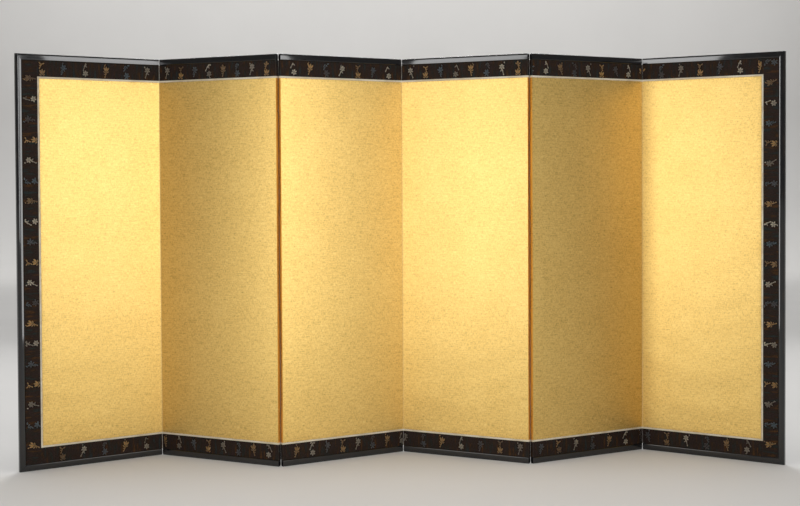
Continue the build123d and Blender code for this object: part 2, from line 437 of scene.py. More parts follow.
class Recipe(Graph):
    """A geometry tree with named inputs."""

    def __init__(self, name: str, **inputs: str) -> None:
        """Starts a tree.

        Args:
            name: the tree's name.
            inputs: kind of socket of each named input, with underscores for spaces.
        """
        tree = bpy.data.node_groups.new(name, "GeometryNodeTree")
        super().__init__(tree)
        for key, kind in inputs.items():
            kind = f"NodeSocket{kind}"
            tree.interface.new_socket(key.replace("_", " "), in_out="INPUT", socket_type=kind)
        tree.interface.new_socket("Geometry", in_out="OUTPUT", socket_type="NodeSocketGeometry")
        self.given = tree.nodes.new("NodeGroupInput").outputs
        self.result = tree.nodes.new("NodeGroupOutput")

    def node(self, kind: str, **feeds: Feed) -> Socket:
        """First output of a new geometry node, whose inputs are named with underscores for spaces."""
        named = {key.replace("_", " "): value for key, value in feeds.items()}
        return self.add(f"GeometryNode{kind}", named).outputs[0]

    def luck(self, low: Feed, high: Feed, seed: Feed, **more: Feed) -> Socket:
        """A random number from low to high, drawn for each point or for the ID that is given."""
        feeds = {"Min": low, "Max": high, "Seed": seed, **more}
        return self.add("FunctionNodeRandomValue", feeds, data_type="FLOAT").outputs["Value"]

    def labelled(self, shape: Socket, name: str, value: Socket) -> Socket:
        """Stores a value on each instance, under the name that its finish reads."""
        feeds = {"Geometry": shape, "Name": name, "Value": value}
        return self.add("GeometryNodeStoreNamedAttribute", feeds, domain="INSTANCE").outputs[0]

    def finish(self, shape: Socket) -> None:
        """Ends the tree in real geometry with its material.

        Args:
            shape: the geometry so far.
        """
        real = self.node("RealizeInstances", Geometry=shape)
        painted = self.add("GeometryNodeSetMaterial", {"Geometry": real, "Material": self.given["Finish"]})
        self.feed(self.result.inputs[0], painted.outputs[0])

    def make(self, name: str, place: Matrix, **values: Feed) -> Piece:
        """Runs the tree and keeps its result as a plain mesh.

        Args:
            name: the new piece's name.
            place: turns the tree's frame into the screen's.
            values: the tree's inputs, with underscores for spaces.

        Returns:
            The new piece, at the origin.
        """
        carrier = bpy.data.objects.new(f"{name}_carrier", bpy.data.meshes.new(f"{name}_carrier"))
        bpy.context.scene.collection.objects.link(carrier)
        live = carrier.modifiers.new("recipe", "NODES")
        live.node_group = self.tree
        items = self.tree.interface.items_tree
        keys = {item.name: item.identifier for item in items if item.in_out == "INPUT"}
        for key, value in values.items():
            live[keys[key.replace("_", " ")]] = value
        graph = bpy.context.evaluated_depsgraph_get()
        mesh = bpy.data.meshes.new_from_object(carrier.evaluated_get(graph))
        mesh.name = name
        mesh.transform(place)
        carrier.modifiers.clear()
        bpy.data.objects.remove(carrier)
        settle_normals(mesh)
        return linked(name, mesh)


def linked(name: str, mesh: bpy.types.Mesh) -> Piece:
    """Puts a mesh in the scene.

    Args:
        name: the piece's name.
        mesh: its mesh.

    Returns:
        The piece, at the origin.
    """
    piece = bpy.data.objects.new(name, mesh)
    bpy.context.scene.collection.objects.link(piece)
    return piece


def settle_normals(mesh: bpy.types.Mesh) -> None:
    """Smooths a mesh so that its broad faces stay flat and only its small ones turn.

    Args:
        mesh: the mesh, whose faces point outwards.
    """
    count = len(mesh.polygons)
    if not count:
        return
    mesh.polygons.foreach_set("use_smooth", np.ones(count, dtype=bool))
    normals, areas = np.zeros(count * 3), np.zeros(count)
    mesh.polygons.foreach_get("normal", normals)
    mesh.polygons.foreach_get("area", areas)
    corners, totals = np.zeros(len(mesh.loops), dtype=int), np.zeros(count, dtype=int)
    mesh.loops.foreach_get("vertex_index", corners)
    mesh.polygons.foreach_get("loop_total", totals)
    share = np.repeat(normals.reshape(-1, 3) * areas[:, None], totals, axis=0)
    summed = np.zeros((len(mesh.vertices), 3))
    np.add.at(summed, corners, share)
    lengths = np.linalg.norm(summed, axis=1, keepdims=True)
    mesh.normals_split_custom_set_from_vertices((summed / np.maximum(lengths, 1e-12)).tolist())


# ---- finishes
@dataclass(frozen=True)
class BlackLacquer:
    """Polished black lacquer, with a little brown undercoat where its arrises are rubbed."""

    colour: Colour = (0.0045, 0.0045, 0.0055)
    rubbed: Colour = (0.060, 0.035, 0.020)
    roughness: float = 0.12
    top_roughness: float = 0.05

    def material(self) -> Material:
        """Builds the finish.

        Returns:
            The material.
        """
        coat = Coating("black_lacquer")
        haze = coat.cloud(0.05, detail=4)
        dust = coat.cloud(0.0015, detail=3)
        rubbing = coat.range(coat.cloud(0.018, detail=5, ratio=(3, 1)), 0.5, 0.75, 0, 0.8)
        worn = coat.times(coat.carried("arris"), rubbing)
        hazed = coat.range(haze, 0.3, 0.7, self.roughness - 0.05, self.roughness + 0.06)
        coat.set(
            Base_Color=coat.mix(worn, self.colour, self.rubbed),
            Roughness=coat.plus(hazed, coat.times(worn, 0.2)),
            IOR=1.2,
            Coat_Weight=1.0,
            Coat_Roughness=self.top_roughness,
            Coat_IOR=1.6,
        )
        coat.relief(coat.cloud(0.030, detail=1), 0.00006)
        coat.relief(dust, 0.000008)
        return coat.material


@dataclass(frozen=True)
class GoldLeaf:
    """Gold leaf laid in overlapping squares on a fibrous paper, speckled with painted shade and highlight
    that follow the paper's fibres.

    Args:
        colour: the leaf's own colour.
        deep: its darkest tone, mostly painted shade in the paper's hollows.
        pale: its lightest tone, mostly a painted highlight on the raised fibres.
        thin: where the paper's warm ground shows through.
        leaf: side of one square, less its overlap.
        lap: width of the overlap, and how far its edge wanders.
        roughness: between hollows and burnished spots.
        speckling: how much the paper's fibres change its tone, as painted shade and highlight.
        blotching: how much broader spots do.
        clouding: how much the broadest ones do.
    """

    colour: Colour = (0.88, 0.600, 0.190)
    deep: Colour = (0.46, 0.275, 0.070)
    pale: Colour = (1.0, 0.795, 0.33)
    thin: Colour = (0.74, 0.46, 0.17)
    leaf: float = 0.106
    lap: float = 0.0035
    roughness: float = 0.40
    speckling: float = 0.96
    blotching: float = 0.10
    clouding: float = 0.03

    def fibres(self, coat: Coating) -> Socket:
        """Three layers of fibres: upright ones, level ones and long level streaks.

        Args:
            coat: the material.

        Returns:
            The fibres, from 0 to 1.
        """
        upright = coat.cloud(0.0050, detail=3, ratio=(0.6, 2.4), rough=0.6)
        level = coat.cloud(0.0050, detail=3, ratio=(2.6, 0.6), rough=0.6)
        streak = coat.cloud(0.0065, detail=3, ratio=(7.0, 0.7), rough=0.6)
        return coat.plus(coat.times(upright, 0.42), coat.times(level, 0.33), coat.times(streak, 0.25))

    def material(self, panel: int) -> Material:
        """Builds the finish for one panel.

        Args:
            panel: the panel's number, which shifts the leaves.

        Returns:
            The material.
        """
        coat = Coating(f"gold_leaf_{panel}")
        x, y, _ = coat.parts(coat.place)
        drift = coat.range(coat.cloud(0.09, detail=2), 0.3, 0.7, -self.lap, self.lap)
        across = coat.over(coat.plus(x, drift, 0.031 * panel), self.leaf)
        up = coat.over(coat.plus(y, drift, 0.017 * panel), self.leaf)
        column, row = coat.calc("FLOOR", across), coat.calc("FLOOR", up)
        square = coat.joined(column, row, float(panel))
        each = coat.add("ShaderNodeTexWhiteNoise", {"Vector": square}).outputs["Value"]
        inside = [coat.calc("FRACT", place) for place in (across, up)]
        laps = [coat.range(place, 0.0, self.lap / self.leaf, 1.0, 0.0) for place in inside]
        faint = coat.range(coat.cloud(0.03, detail=3), 0.35, 0.65, 0.2, 1.0)
        edge = coat.times(coat.calc("MAXIMUM", *laps), faint)
        speckle = self.fibres(coat)
        blotch = coat.cloud(0.017, detail=3, ratio=(0.7, 1.5), rough=0.6)
        clouds = coat.cloud(0.16, detail=3)
        # painted shade and highlight: the tone rises with the fibres' relief, dark in the hollows and pale
        # on the raised fibres, besides random tone per square and in broad spots
        tone = coat.plus(
            coat.range(each, 0, 1, 0.965, 1.02),
            coat.range(speckle, 0.2, 0.8, -self.speckling, self.speckling),
            coat.range(blotch, 0.25, 0.75, -self.blotching, self.blotching),
            coat.range(clouds, 0.3, 0.7, -self.clouding, self.clouding),
        )
        tone = coat.minus(tone, coat.times(edge, 0.05))
        thin = coat.range(coat.cloud(0.012, detail=6, rough=0.7), 0.62, 0.82, 0.0, 0.2)
        tone = coat.range(tone, 0.4, 1.6, 0.0, 1.0)
        gilt = coat.ramp(tone, (0.0, self.deep), (0.5, self.colour), (1.0, self.pale))
        dulled = coat.range(speckle, 0.2, 0.8, self.roughness - 0.05, self.roughness + 0.07)
        coat.set(
            Base_Color=coat.mix(thin, gilt, self.thin),
            Metallic=1.0,
            Roughness=coat.plus(dulled, coat.times(thin, 0.25)),
        )
        for height, depth in (
            (coat.cloud(0.022, detail=2), 0.00016), (speckle, 0.00005),
            (coat.cloud(0.0016, detail=2), 0.00002), (edge, 0.00004),
        ):
            coat.relief(height, depth)
        return coat.material


@dataclass(frozen=True)
class BrocadeGround:
    """Dark silk ground of the brocade, woven in a fine twill, and pale where it is folded round a seam edge:
    a painted highlight there, also worn bare.

    It has warm and cool spots, and faint bands of teal, plum and rust weft.
    """

    dark: Colour = (0.023, 0.0145, 0.0085)
    warm: Colour = (0.056, 0.032, 0.017)
    cool: Colour = (0.021, 0.022, 0.018)
    # bare: pale colour at the folds, a painted highlight on the folded edge as well as worn bare silk
    bare: Colour = (0.60, 0.54, 0.44)
    teal: Colour = (0.022, 0.038, 0.042)
    plum: Colour = (0.038, 0.022, 0.024)
    rust: Colour = (0.105, 0.045, 0.014)
    thread: float = 0.0008

    def material(self, upright: bool = False) -> Material:
        """Builds the finish.

        Args:
            upright: whether the strip's run is up the panel, which turns its bands of weft.

        Returns:
            The material.
        """
        cloth = Coating("brocade_ground_upright" if upright else "brocade_ground")
        x, y, _ = cloth.parts(cloth.place)
        slant = cloth.plus(x, cloth.times(y, 0.6))
        twill = cloth.calc("SINE", cloth.times(slant, 2 * math.pi / self.thread))
        rib = cloth.calc("SINE", cloth.times(y, 2 * math.pi / (self.thread * 2.6)))
        tone = cloth.ramp(cloth.cloud(0.013, detail=4, rough=0.65),
                          (0.30, self.cool), (0.45, self.dark), (0.56, self.dark), (0.72, self.warm))
        ratio = (3.2, 0.55) if upright else (0.55, 3.2)
        weft = cloth.ramp(cloth.cloud(0.026, detail=3, ratio=ratio, rough=0.6), (0.36, self.teal),
                          (0.45, self.dark), (0.51, self.plum), (0.56, self.dark), (0.67, self.rust))
        tone = cloth.mix(0.65, tone, weft)
        weave = cloth.plus(cloth.times(twill, 0.12), cloth.times(rib, 0.10))
        slub = cloth.range(cloth.cloud(0.0030, detail=4, ratio=(2.2, 0.8)), 0.3, 0.7, 0.6, 1.5)
        # painted highlight and wear on the folded edges at the seams, in patches
        highlight_and_wear_patches = cloth.range(cloth.cloud(0.02, detail=4), 0.35, 0.6, 0.25, 1.0)
        bare = cloth.times(cloth.carried("fold"), highlight_and_wear_patches)
        cloth.set(
            Base_Color=cloth.mix(bare, cloth.toned(tone, cloth.plus(slub, weave)), self.bare),
            Roughness=0.7,
            Specular_IOR_Level=0.12,
            Sheen_Weight=0.03,
            Sheen_Roughness=0.4,
            Sheen_Tint=(0.55, 0.42, 0.34),
        )
        cloth.relief(cloth.range(weave, -0.22, 0.22, 0, 1), 0.00010)
        cloth.relief(slub, 0.00012)
        return cloth.material


@dataclass(frozen=True)
class FigureSilk:
    """Floated silks of the woven figures: painted shade where they sink into the cloth and a painted
    highlight on their ridges, and rubbed here and there.
    """

    gold: Colour = (0.85, 0.49, 0.16)
    blue: Colour = (0.155, 0.235, 0.28)
    cream: Colour = (0.93, 0.83, 0.63)
    shadow: Colour = (0.040, 0.026, 0.018)
    rubbed: Colour = (0.10, 0.065, 0.048)

    def material(self) -> Material:
        """Builds the finish.

        Returns:
            The material.
        """
        silk = Coating("figure_silk", on_surface=False)
        hue, shade, luck = (silk.carried(name) for name in ("figure_hue", "petal_shade", "figure_luck"))
        first = silk.mix(silk.calc("GREATER_THAN", hue, 0.5), self.gold, self.blue)
        colour = silk.mix(silk.calc("GREATER_THAN", hue, 1.5), first, self.cream)
        # painted shade on the petals' edges and painted highlight on their ridges
        colour = silk.mix(silk.range(shade, 0.15, 1.0, 0.95, 0.0), colour, self.shadow)
        colour = silk.mix(silk.range(luck, 0.4, 1.0, 0.0, 0.75), colour, self.rubbed)
        floats = silk.cloud(0.0009, detail=3)
        silk.set(
            Base_Color=silk.toned(colour, silk.range(floats, 0.3, 0.7, 0.65, 1.3)),
            Roughness=0.48,
            Specular_IOR_Level=0.4,
            Sheen_Weight=0.15,
            Sheen_Roughness=0.35,
        )
        silk.relief(floats, 0.00008)
        return silk.material


@dataclass(frozen=True)
class PaleSilk:
    """Pale gold silk of the inner border, woven in fine ribs and browned in places."""

    colour: Colour = (0.92, 0.84, 0.67)
    stained: Colour = (0.72, 0.60, 0.42)
    clean: Colour = (0.93, 0.86, 0.71)
    rib: float = 0.0011

    def material(self) -> Material:
        """Builds the finish.

        Returns:
            The material.
        """
        silk = Coating("pale_silk")
        x, _, _ = silk.parts(silk.place)
        ribs = silk.calc("SINE", silk.times(x, 2 * math.pi / self.rib))
        stain = silk.cloud(0.035, detail=5, ratio=(2, 1))
        colour = silk.ramp(stain, (0.30, self.stained), (0.55, self.colour), (0.80, self.clean))
        uneven = silk.range(silk.cloud(0.002, detail=3), 0.3, 0.7, 0.92, 1.06)
        tone = silk.plus(silk.times(ribs, 0.05), uneven)
        silk.set(
            Base_Color=silk.toned(colour, tone),
            Roughness=0.55,
            Sheen_Weight=0.2,
            Sheen_Roughness=0.4,
        )
        silk.relief(silk.range(ribs, -1, 1, 0, 1), 0.00008)
        return silk.material


@dataclass(frozen=True)
class TwistedThread:
    """Two-coloured thread couched along the inner border's edge."""

    brown: Colour = (0.17, 0.095, 0.040)
    tan: Colour = (0.52, 0.38, 0.19)

    def material(self) -> Material:
        """Builds the finish.

        Returns:
            The material.
        """
        thread = Coating("twisted_thread", on_surface=False)
        colour = thread.mix(thread.carried("turn_luck"), self.brown, self.tan)
        fibre = thread.cloud(0.0007, detail=3)
        thread.set(
            Base_Color=thread.toned(colour, thread.range(fibre, 0.3, 0.7, 0.8, 1.2)),
            Roughness=0.6,
            Sheen_Weight=0.2,
        )
        thread.relief(fibre, 0.00006)
        return thread.material


@dataclass(frozen=True)
class PrintedBackPaper:
    """Matt dark paper, block printed with four-petalled flowers in a diamond lattice.

    Args:
        ground: the paper's colour.
        ink: the print's colour.
        repeat: width of one diamond.
        waist: how far a flower reaches between its petals, in diamonds' sides.
        petal: how much farther its petals do.
        heart: how far its heart does.
        ring: middle and half width of the bare ring round the heart.
        line: distance from a diamond's side, and half width, of its fine line.
    """

    ground: Colour = (0.036, 0.034, 0.030)
    ink: Colour = (0.150, 0.125, 0.080)
    repeat: float = 0.056
    waist: float = 0.085
    petal: float = 0.145
    heart: float = 0.055
    ring: Pair = (0.075, 0.012)
    line: Pair = (0.030, 0.008)

    def printed(self, paper: Coating) -> Socket:
        """Where the block left ink.

        Args:
            paper: the material.

        Returns:
            1 on the print and 0 on the paper.
        """
        x, y, _ = paper.parts(paper.place)
        u, v = paper.over(x, self.repeat), paper.over(y, self.repeat)
        a = paper.minus(paper.calc("FRACT", paper.plus(u, v)), 0.5)
        b = paper.minus(paper.calc("FRACT", paper.minus(u, v)), 0.5)
        away = paper.calc("SQRT", paper.plus(paper.times(a, a), paper.times(b, b)))
        wave = paper.calc("ABSOLUTE", paper.calc("SINE", paper.times(paper.calc("ARCTAN2", a, b), 2.0)))
        outline = paper.plus(self.waist, paper.times(paper.calc("POWER", wave, 0.6), self.petal))
        petals = paper.calc("LESS_THAN", away, outline)
        heart = paper.calc("LESS_THAN", away, self.heart)
        flower = paper.calc("MAXIMUM", paper.minus(petals, paper.near(away, *self.ring)), heart)
        sides = [paper.minus(0.5, paper.calc("ABSOLUTE", part)) for part in (a, b)]
        return paper.calc("MAXIMUM", flower, paper.near(paper.calc("MINIMUM", *sides), *self.line))

    def material(self) -> Material:
        """Builds the finish.

        Returns:
            The material.
        """
        paper = Coating("printed_back_paper")
        patchy = paper.range(paper.cloud(0.006, detail=5, rough=0.7), 0.25, 0.5, 0.15, 0.8)
        inked = paper.times(self.printed(paper), patchy)
        fibre = paper.cloud(0.0018, detail=4, ratio=(3, 1))
        scuffs = paper.range(paper.cloud(0.22, detail=5), 0.35, 0.75, 0.8, 1.35)
        tone = paper.times(scuffs, paper.range(fibre, 0.3, 0.7, 0.88, 1.1))
        paper.set(
            Base_Color=paper.toned(paper.mix(inked, self.ground, self.ink), tone),
            Roughness=paper.range(inked, 0, 1, 0.85, 0.5),
            Specular_IOR_Level=0.3,
        )
        paper.relief(fibre, 0.00012)
        paper.relief(inked, 0.00003)
        return paper.material


@dataclass(frozen=True)
class GildedHingePaper:
    """Gilded paper of the hinge strips, rubbed bare here and there."""

    colour: Colour = (0.95, 0.58, 0.15)
    bare: Colour = (0.62, 0.36, 0.13)

    def material(self) -> Material:
        """Builds the finish.

        Returns:
            The material.
        """
        coat = Coating("gilded_hinge_paper")
        streak = coat.cloud(0.02, detail=4, ratio=(0.3, 3))
        rubbed = coat.range(coat.cloud(0.008, detail=5, ratio=(0.4, 3)), 0.55, 0.75, 0, 0.5)
        gilt = coat.toned(self.colour, coat.range(streak, 0.3, 0.7, 0.85, 1.05))
        coat.set(
            Base_Color=coat.mix(rubbed, gilt, self.bare),
            Metallic=coat.range(rubbed, 0, 1, 1.0, 0.4),
            Roughness=coat.range(streak, 0.3, 0.7, 0.38, 0.52),
        )
        coat.relief(coat.cloud(0.003, detail=3), 0.0001)
        return coat.material


@dataclass(frozen=True)
class MulberryPaper:
    """Built-up mulberry paper over the lattice, with darker and lighter fibres."""

    colour: Colour = (0.74, 0.67, 0.54)
    dark: Colour = (0.66, 0.58, 0.45)
    light: Colour = (0.80, 0.75, 0.64)

    def material(self, turn: float) -> Material:
        """Builds the finish.

        Args:
            turn: the panel's heading, in radians.

        Returns:
            The material.
        """
        paper = Coating("mulberry_paper", on_surface=False, turn=-turn)
        fibre = paper.cloud(0.004, detail=6, ratio=(3, 3), rough=0.7, twist=1.5)
        paper.set(
            Base_Color=paper.ramp(fibre, (0.3, self.dark), (0.5, self.colour), (0.7, self.light)),
            Roughness=0.85,
        )
        paper.relief(fibre, 0.0002)
        return paper.material


@dataclass(frozen=True)
class PlanedCedar:
    """Planed cedar with its grain running up: pale early wood, dark lines of late wood, and pores."""

    early: Colour = (0.62, 0.42, 0.25)
    late: Colour = (0.36, 0.19, 0.10)
    stretch: float = 0.06

    def material(self, turn: float) -> Material:
        """Builds the finish.

        Args:
            turn: the panel's heading, in radians.

        Returns:
            The material.
        """
        wood = Coating("planed_cedar", on_surface=False, turn=-turn)
        where = wood.scaled(1, 1, self.stretch)
        rings = wood.add("ShaderNodeTexWave", {
            "Vector": where, "Scale": 55.0, "Distortion": 4.0, "Detail": 3.0, "Detail Scale": 1.4,
        }, bands_direction="X").outputs["Fac"]
        pores = wood.add("ShaderNodeTexNoise", {"Vector": where, "Scale": 1800.0, "Detail": 3.0}).outputs[0]
        grain = wood.ramp(rings, (0.0, self.early), (0.72, self.early), (1.0, self.late))
        wood.set(
            Base_Color=wood.toned(grain, wood.range(pores, 0.3, 0.7, 0.85, 1.1)),
            Roughness=wood.range(rings, 0, 1, 0.62, 0.5),
        )
        wood.relief(pores, 0.0001)
        return wood.material


@dataclass(frozen=True)
class StudioSurface:
    """Plain matt surface of the studio."""

    name: str
    colour: Colour

    def material(self) -> Material:
        """Builds the finish.

        Returns:
            The material.
        """
        paint = Coating(self.name, on_surface=False)
        uneven = paint.range(paint.cloud(0.8, detail=3), 0.3, 0.7, 0.985, 1.015)
        paint.set(
            Base_Color=paint.toned(self.colour, uneven),
            Roughness=0.75,
            Specular_IOR_Level=0.25,
        )
        return paint.material


@dataclass
class Finishes:
    """The materials that several pieces share."""

    lacquer: Material = field(default_factory=BlackLacquer().material)
    brocade: Material = field(default_factory=BrocadeGround().material)
    upright_brocade: Material = field(default_factory=lambda: BrocadeGround().material(upright=True))
    figures: Material = field(default_factory=FigureSilk().material)
    silk: Material = field(default_factory=PaleSilk().material)
    thread: Material = field(default_factory=TwistedThread().material)
    back: Material = field(default_factory=PrintedBackPaper().material)
    hinge: Material = field(default_factory=GildedHingePaper().material)


FINISHES = Finishes()


# ---- sheets of paper and cloth
@dataclass
class SheetMesh:
    """A closed sheet: an outer and an inner grid of points joined round their rim.

    Args:
        outer: columns of points on the side that shows.
        inner: the points behind them.
        across: place of each column along the sheet, for its pattern.
        row_finish: material number of each row of faces.
        folded: how much painted highlight and wear each column has where it is folded, from 0 to 1.
    """

    outer: list[list[Place]]
    inner: list[list[Place]]
    across: list[float]
    row_finish: Callable[[float], int] = lambda height: 0
    folded: list[float] = field(default_factory=list)

    def build(self, name: str, place: Matrix, materials: Sequence[Material]) -> Piece:
        """Makes the sheet.

        Args:
            name: the piece's name.
            place: turns the sheet's frame into the screen's.
            materials: its finishes by number.

        Returns:
            The piece, at the origin.
        """
        columns, rows = len(self.outer), len(self.outer[0])
        points = [p for grid in (self.outer, self.inner) for column in grid for p in column]
        back, last = columns * rows, columns - 1

        def at(i: int, j: int, side: int = 0) -> int:
            """Number of the point in column i and row j."""
            return side * back + i * rows + j

        heights = [point[1] for point in self.outer[0]]
        kinds = [self.row_finish((a + b) / 2) for a, b in zip(heights, heights[1:])]
        faces, finishes = [], []
        for i in range(last):
            for j, kind in enumerate(kinds):
                faces.append((at(i, j), at(i + 1, j), at(i + 1, j + 1), at(i, j + 1)))
                faces.append((at(i, j, 1), at(i, j + 1, 1), at(i + 1, j + 1, 1), at(i + 1, j, 1)))
                finishes += [kind, kind]
        for i in range(last):
            for j, (a, b) in ((0, (i, i + 1)), (rows - 1, (i + 1, i))):
                faces.append((at(b, j), at(a, j), at(a, j, 1), at(b, j, 1)))
                finishes.append(self.row_finish(heights[j]))
        for j, kind in enumerate(kinds):
            faces.append((at(0, j), at(0, j + 1), at(0, j + 1, 1), at(0, j, 1)))
            faces.append((at(last, j + 1), at(last, j), at(last, j, 1), at(last, j + 1, 1)))
            finishes += [kind, kind]
        mesh = bpy.data.meshes.new(name)
        mesh.from_pydata(points, [], faces)
        for material in materials:
            mesh.materials.append(material)
        mesh.polygons.foreach_set("material_index", finishes)
        column_of = [(n % back) // rows for n in range(2 * back)]
        layer = mesh.uv_layers.new(name="surface")
        corners = np.zeros(len(mesh.loops), dtype=int)
        mesh.loops.foreach_get("vertex_index", corners)
        flat = np.array([(self.across[column], point[1]) for column, point in zip(column_of, points)])
        layer.data.foreach_set("uv", flat[corners].ravel())
        # each column's share of painted highlight and wear at the folds, which the brocade's finish reads
        worn = [self.folded[column] if self.folded else 0.0 for column in column_of]
        mesh.attributes.new("fold", "FLOAT", "POINT").data.foreach_set("value", worn)
        mesh.transform(place)
        settle_normals(mesh)
        return linked(name, mesh)


def spread(start: float, end: float, step: float) -> list[float]:
    """Places from start to end, evenly spaced by about a step."""
    count = max(1, round((end - start) / step))
    return [start + (end - start) * n / count for n in range(count + 1)]


FOLD_HIGHLIGHT_AND_WEAR = {1: 1.0, 2: 0.3, 3: 0.6, 4: 0.3, 5: 0.1}  # by seam: how much painted highlight and wear the brocade has where it folds
FOLD_DEPTH = 0.0009  # how near the pivot line a sheet lies where it gets that painted highlight and wear
SAME_HEIGHT = 1e-6  # heights that differ by less are the same


@dataclass(frozen=True)
class FrontSheet:
    """Section of a sheet that covers part of a panel's front.

    It turns back round each seam edge that it reaches, and stands up there in a small lip, out to
    the pivot line that the hinge paper folds on.

    Args:
        panel: its panel.
        left: its left end.
        right: its right end.
        face: height of its surface over the middle of the panel's thickness.
        step: distance between its columns.
        side: 1 on the panel's front and -1 on its back.
        lip_width: how far from the pivot line a lip starts to rise.
    """

    panel: Panel
    left: float
    right: float
    face: float
    step: float
    side: int = 1
    lip_width: float = 0.0016

    def turn_over(self) -> list[tuple[Place, Place]]:
        """Outer and inner section points round a seam edge, from the panel's other side to its front.

        The points are written in mm. A sheet on the back starts beside the core, which the front
        paper already goes round.

        Returns:
            Pairs of (distance from the pivot line, height) points.
        """
        over = (self.face - SIZES.gold_face) / MM
        deep = -SIZES.half_paper / MM
        lip = [
            ((0.30, deep), (0.70, deep)),
            ((0.30, 7.45), (0.70, 7.30)),
            ((0.17, 8.80), (0.70, 7.38)),
            ((0.10, 9.10), (0.70, 7.42)),
            ((0.20, 9.12), (0.72, 7.46)),
            ((0.55, 8.60 + over * 0.5), (0.76, 7.50)),
            ((1.00, 8.14 + over), (1.00, 7.50)),
            ((1.60, 8.00 + over), (1.60, 7.50)),
        ]
        if self.side == -1:
            lip = [((0.30, 7.60), (0.70, 7.50)), *lip[2:]]
            lip = [(outer, (max(inner[0], 0.70 + 0.02 * n), 7.50)) for n, (outer, inner) in enumerate(lip)]
        return [((ox * MM, oz * MM), (ix * MM, iz * MM)) for (ox, oz), (ix, iz) in lip]

    def section(self) -> tuple[list[Pair], list[Pair], list[float]]:
        """The whole section from left to right.

        Returns:
            Outer points, inner points, and each column's place along the sheet.
        """
        width = self.panel.width
        seam_left = not self.panel.left_stile and self.left < self.panel.left + MM
        seam_right = not self.panel.right_stile and self.right > self.panel.right - MM
        turn = self.turn_over()
        start = self.lip_width if seam_left else self.left
        end = width - self.lip_width if seam_right else self.right
        middle = spread(start, end, self.step)
        middle = middle[1 if seam_left else 0:-1 if seam_right else None]
        pairs = turn if seam_left else []
        pairs = pairs + [((x, self.face), (x, SIZES.half_paper)) for x in middle]
        if seam_right:
            pairs += [((width - ox, oz), (width - ix, iz)) for (ox, oz), (ix, iz) in reversed(turn)]
        outer, inner = [pair[0] for pair in pairs], [pair[1] for pair in pairs]
        across = [0.0]
        for (x0, z0), (x1, z1) in zip(outer, outer[1:]):
            across.append(across[-1] + math.hypot(x1 - x0, z1 - z0))
        shift = self.left - (across[len(turn) - 1] if seam_left else 0.0)
        return outer, inner, [a + shift for a in across]

    def mesh(self, levels: Sequence[Pair], relief: Relief) -> SheetMesh:
        """Spreads the section over its height.

        Args:
            levels: each row's height, and how far its surface is let down there.
            relief: how far the surface stands out at a place.

        Returns:
            The sheet.
        """
        outer_line, inner_line, across = self.section()
        outer, inner, folded = [], [], []
        for (ox, oz), (ix, iz) in zip(outer_line, inner_line):
            flat = abs(oz - self.face) < SAME_HEIGHT
            column = []
            for y, drop in levels:
                z = oz - drop if oz > SIZES.half_paper else oz
                column.append((ox, y, z + relief(ox, y) if flat else z))
            outer.append(column)
            inner.append([(ix, y, iz) for y, _ in levels])
            seam = self.panel.number if ox > self.panel.width / 2 else self.panel.number - 1
            # a column turned round a seam edge gets that seam's painted highlight and wear
            at_fold = SIZES.pivot - oz < FOLD_DEPTH and not flat
            folded.append(FOLD_HIGHLIGHT_AND_WEAR.get(seam, 0.0) if at_fold else 0.0)
        return SheetMesh(outer, inner, across, folded=folded)


def flat_surface(x: float, y: float) -> float:
    """No relief."""
    return 0.0


def side_strip(columns: Sequence[Pair], rows: Sequence[float], face: float,
               relief: Relief) -> SheetMesh:
    """A strip that runs up a panel's outer side.

    Args:
        columns: each column's place across the panel, and how far its surface is let down there.
        rows: each row's height.
        face: height of its surface over the middle of the panel's thickness.
        relief: how far the surface stands out at a place.

    Returns:
        The sheet.
    """
    outer = [[(x, y, face - drop + relief(x, y)) for y in rows] for x, drop in columns]
    inner = [[(x, y, SIZES.half_paper) for y in rows] for x, _ in columns]
    return SheetMesh(outer, inner, [x for x, _ in columns])


@dataclass
class GoldGround:
    """Gilded paper inside a panel's borders, a little cockled over its lattice.

    Args:
        panel: its panel.
        step: distance between its points.
        cockle: how far it stands out where it is slackest.
        slack_turns: how closely its cockles lie across and up the panel, in spots per metre.
        band: how far it stands out in the long level cockles low down.
        band_turns: how closely those lie.
        sway: how far they sway up and down, in bands.
        sway_turns: how often, in radians per metre.
        band_share: share of them that is left from a metre up.
        ease: how far from its top and bottom it starts to flatten out.
    """

    panel: Panel
    step: float = 0.012
    cockle: float = 0.00012
    slack_turns: Pair = (7.0, 5.0)
    band: float = 0.00060
    band_turns: Pair = (1.7, 15.0)
    sway: float = 0.9
    sway_turns: float = 6.0
    band_share: float = 0.35
    ease: float = 0.03

    def relief(self, x: float, y: float) -> float:
        """How far the paper stands out at a place.

        Args:
            x: the place's distance from the left pivot line.
            y: its height.

        Returns:
            The distance.
        """
        number = self.panel.number
        ease = min(1.0, min(y - SIZES.gold_low, SIZES.gold_high - y) / self.ease)
        where = Vector((x * self.slack_turns[0] + 11 * number, y * self.slack_turns[1], 0))
        slack = self.cockle * (noise.noise(where) + 0.5 * noise.noise(where * 2.7))
        swayed = y * self.band_turns[1] + self.sway * math.sin(x * self.sway_turns)
        band = noise.noise(Vector((x * self.band_turns[0] + 5 * number, swayed, 3.0)))
        low_down = self.band_share + (1 - self.band_share) * max(0.0, 1.0 - y)
        return ease * (slack + self.band * low_down * (band + 0.4))

    def build(self) -> None:
        """Makes the gilded sheet and puts it on its panel."""
        left, right = self.panel.inside(SIZES.border)
        sheet = FrontSheet(self.panel, left, right, SIZES.gold_face, self.step)
        levels = [(y, 0.0) for y in spread(SIZES.gold_low, SIZES.gold_high, self.step)]
        material = GoldLeaf().material(self.panel.number)
        piece = sheet.mesh(levels, self.relief).build(
            f"{self.panel.body}_gold_leaf", self.panel.standing, [material])
        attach(piece, self.panel.body)
        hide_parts(f"{self.panel.body}_gold_ground")


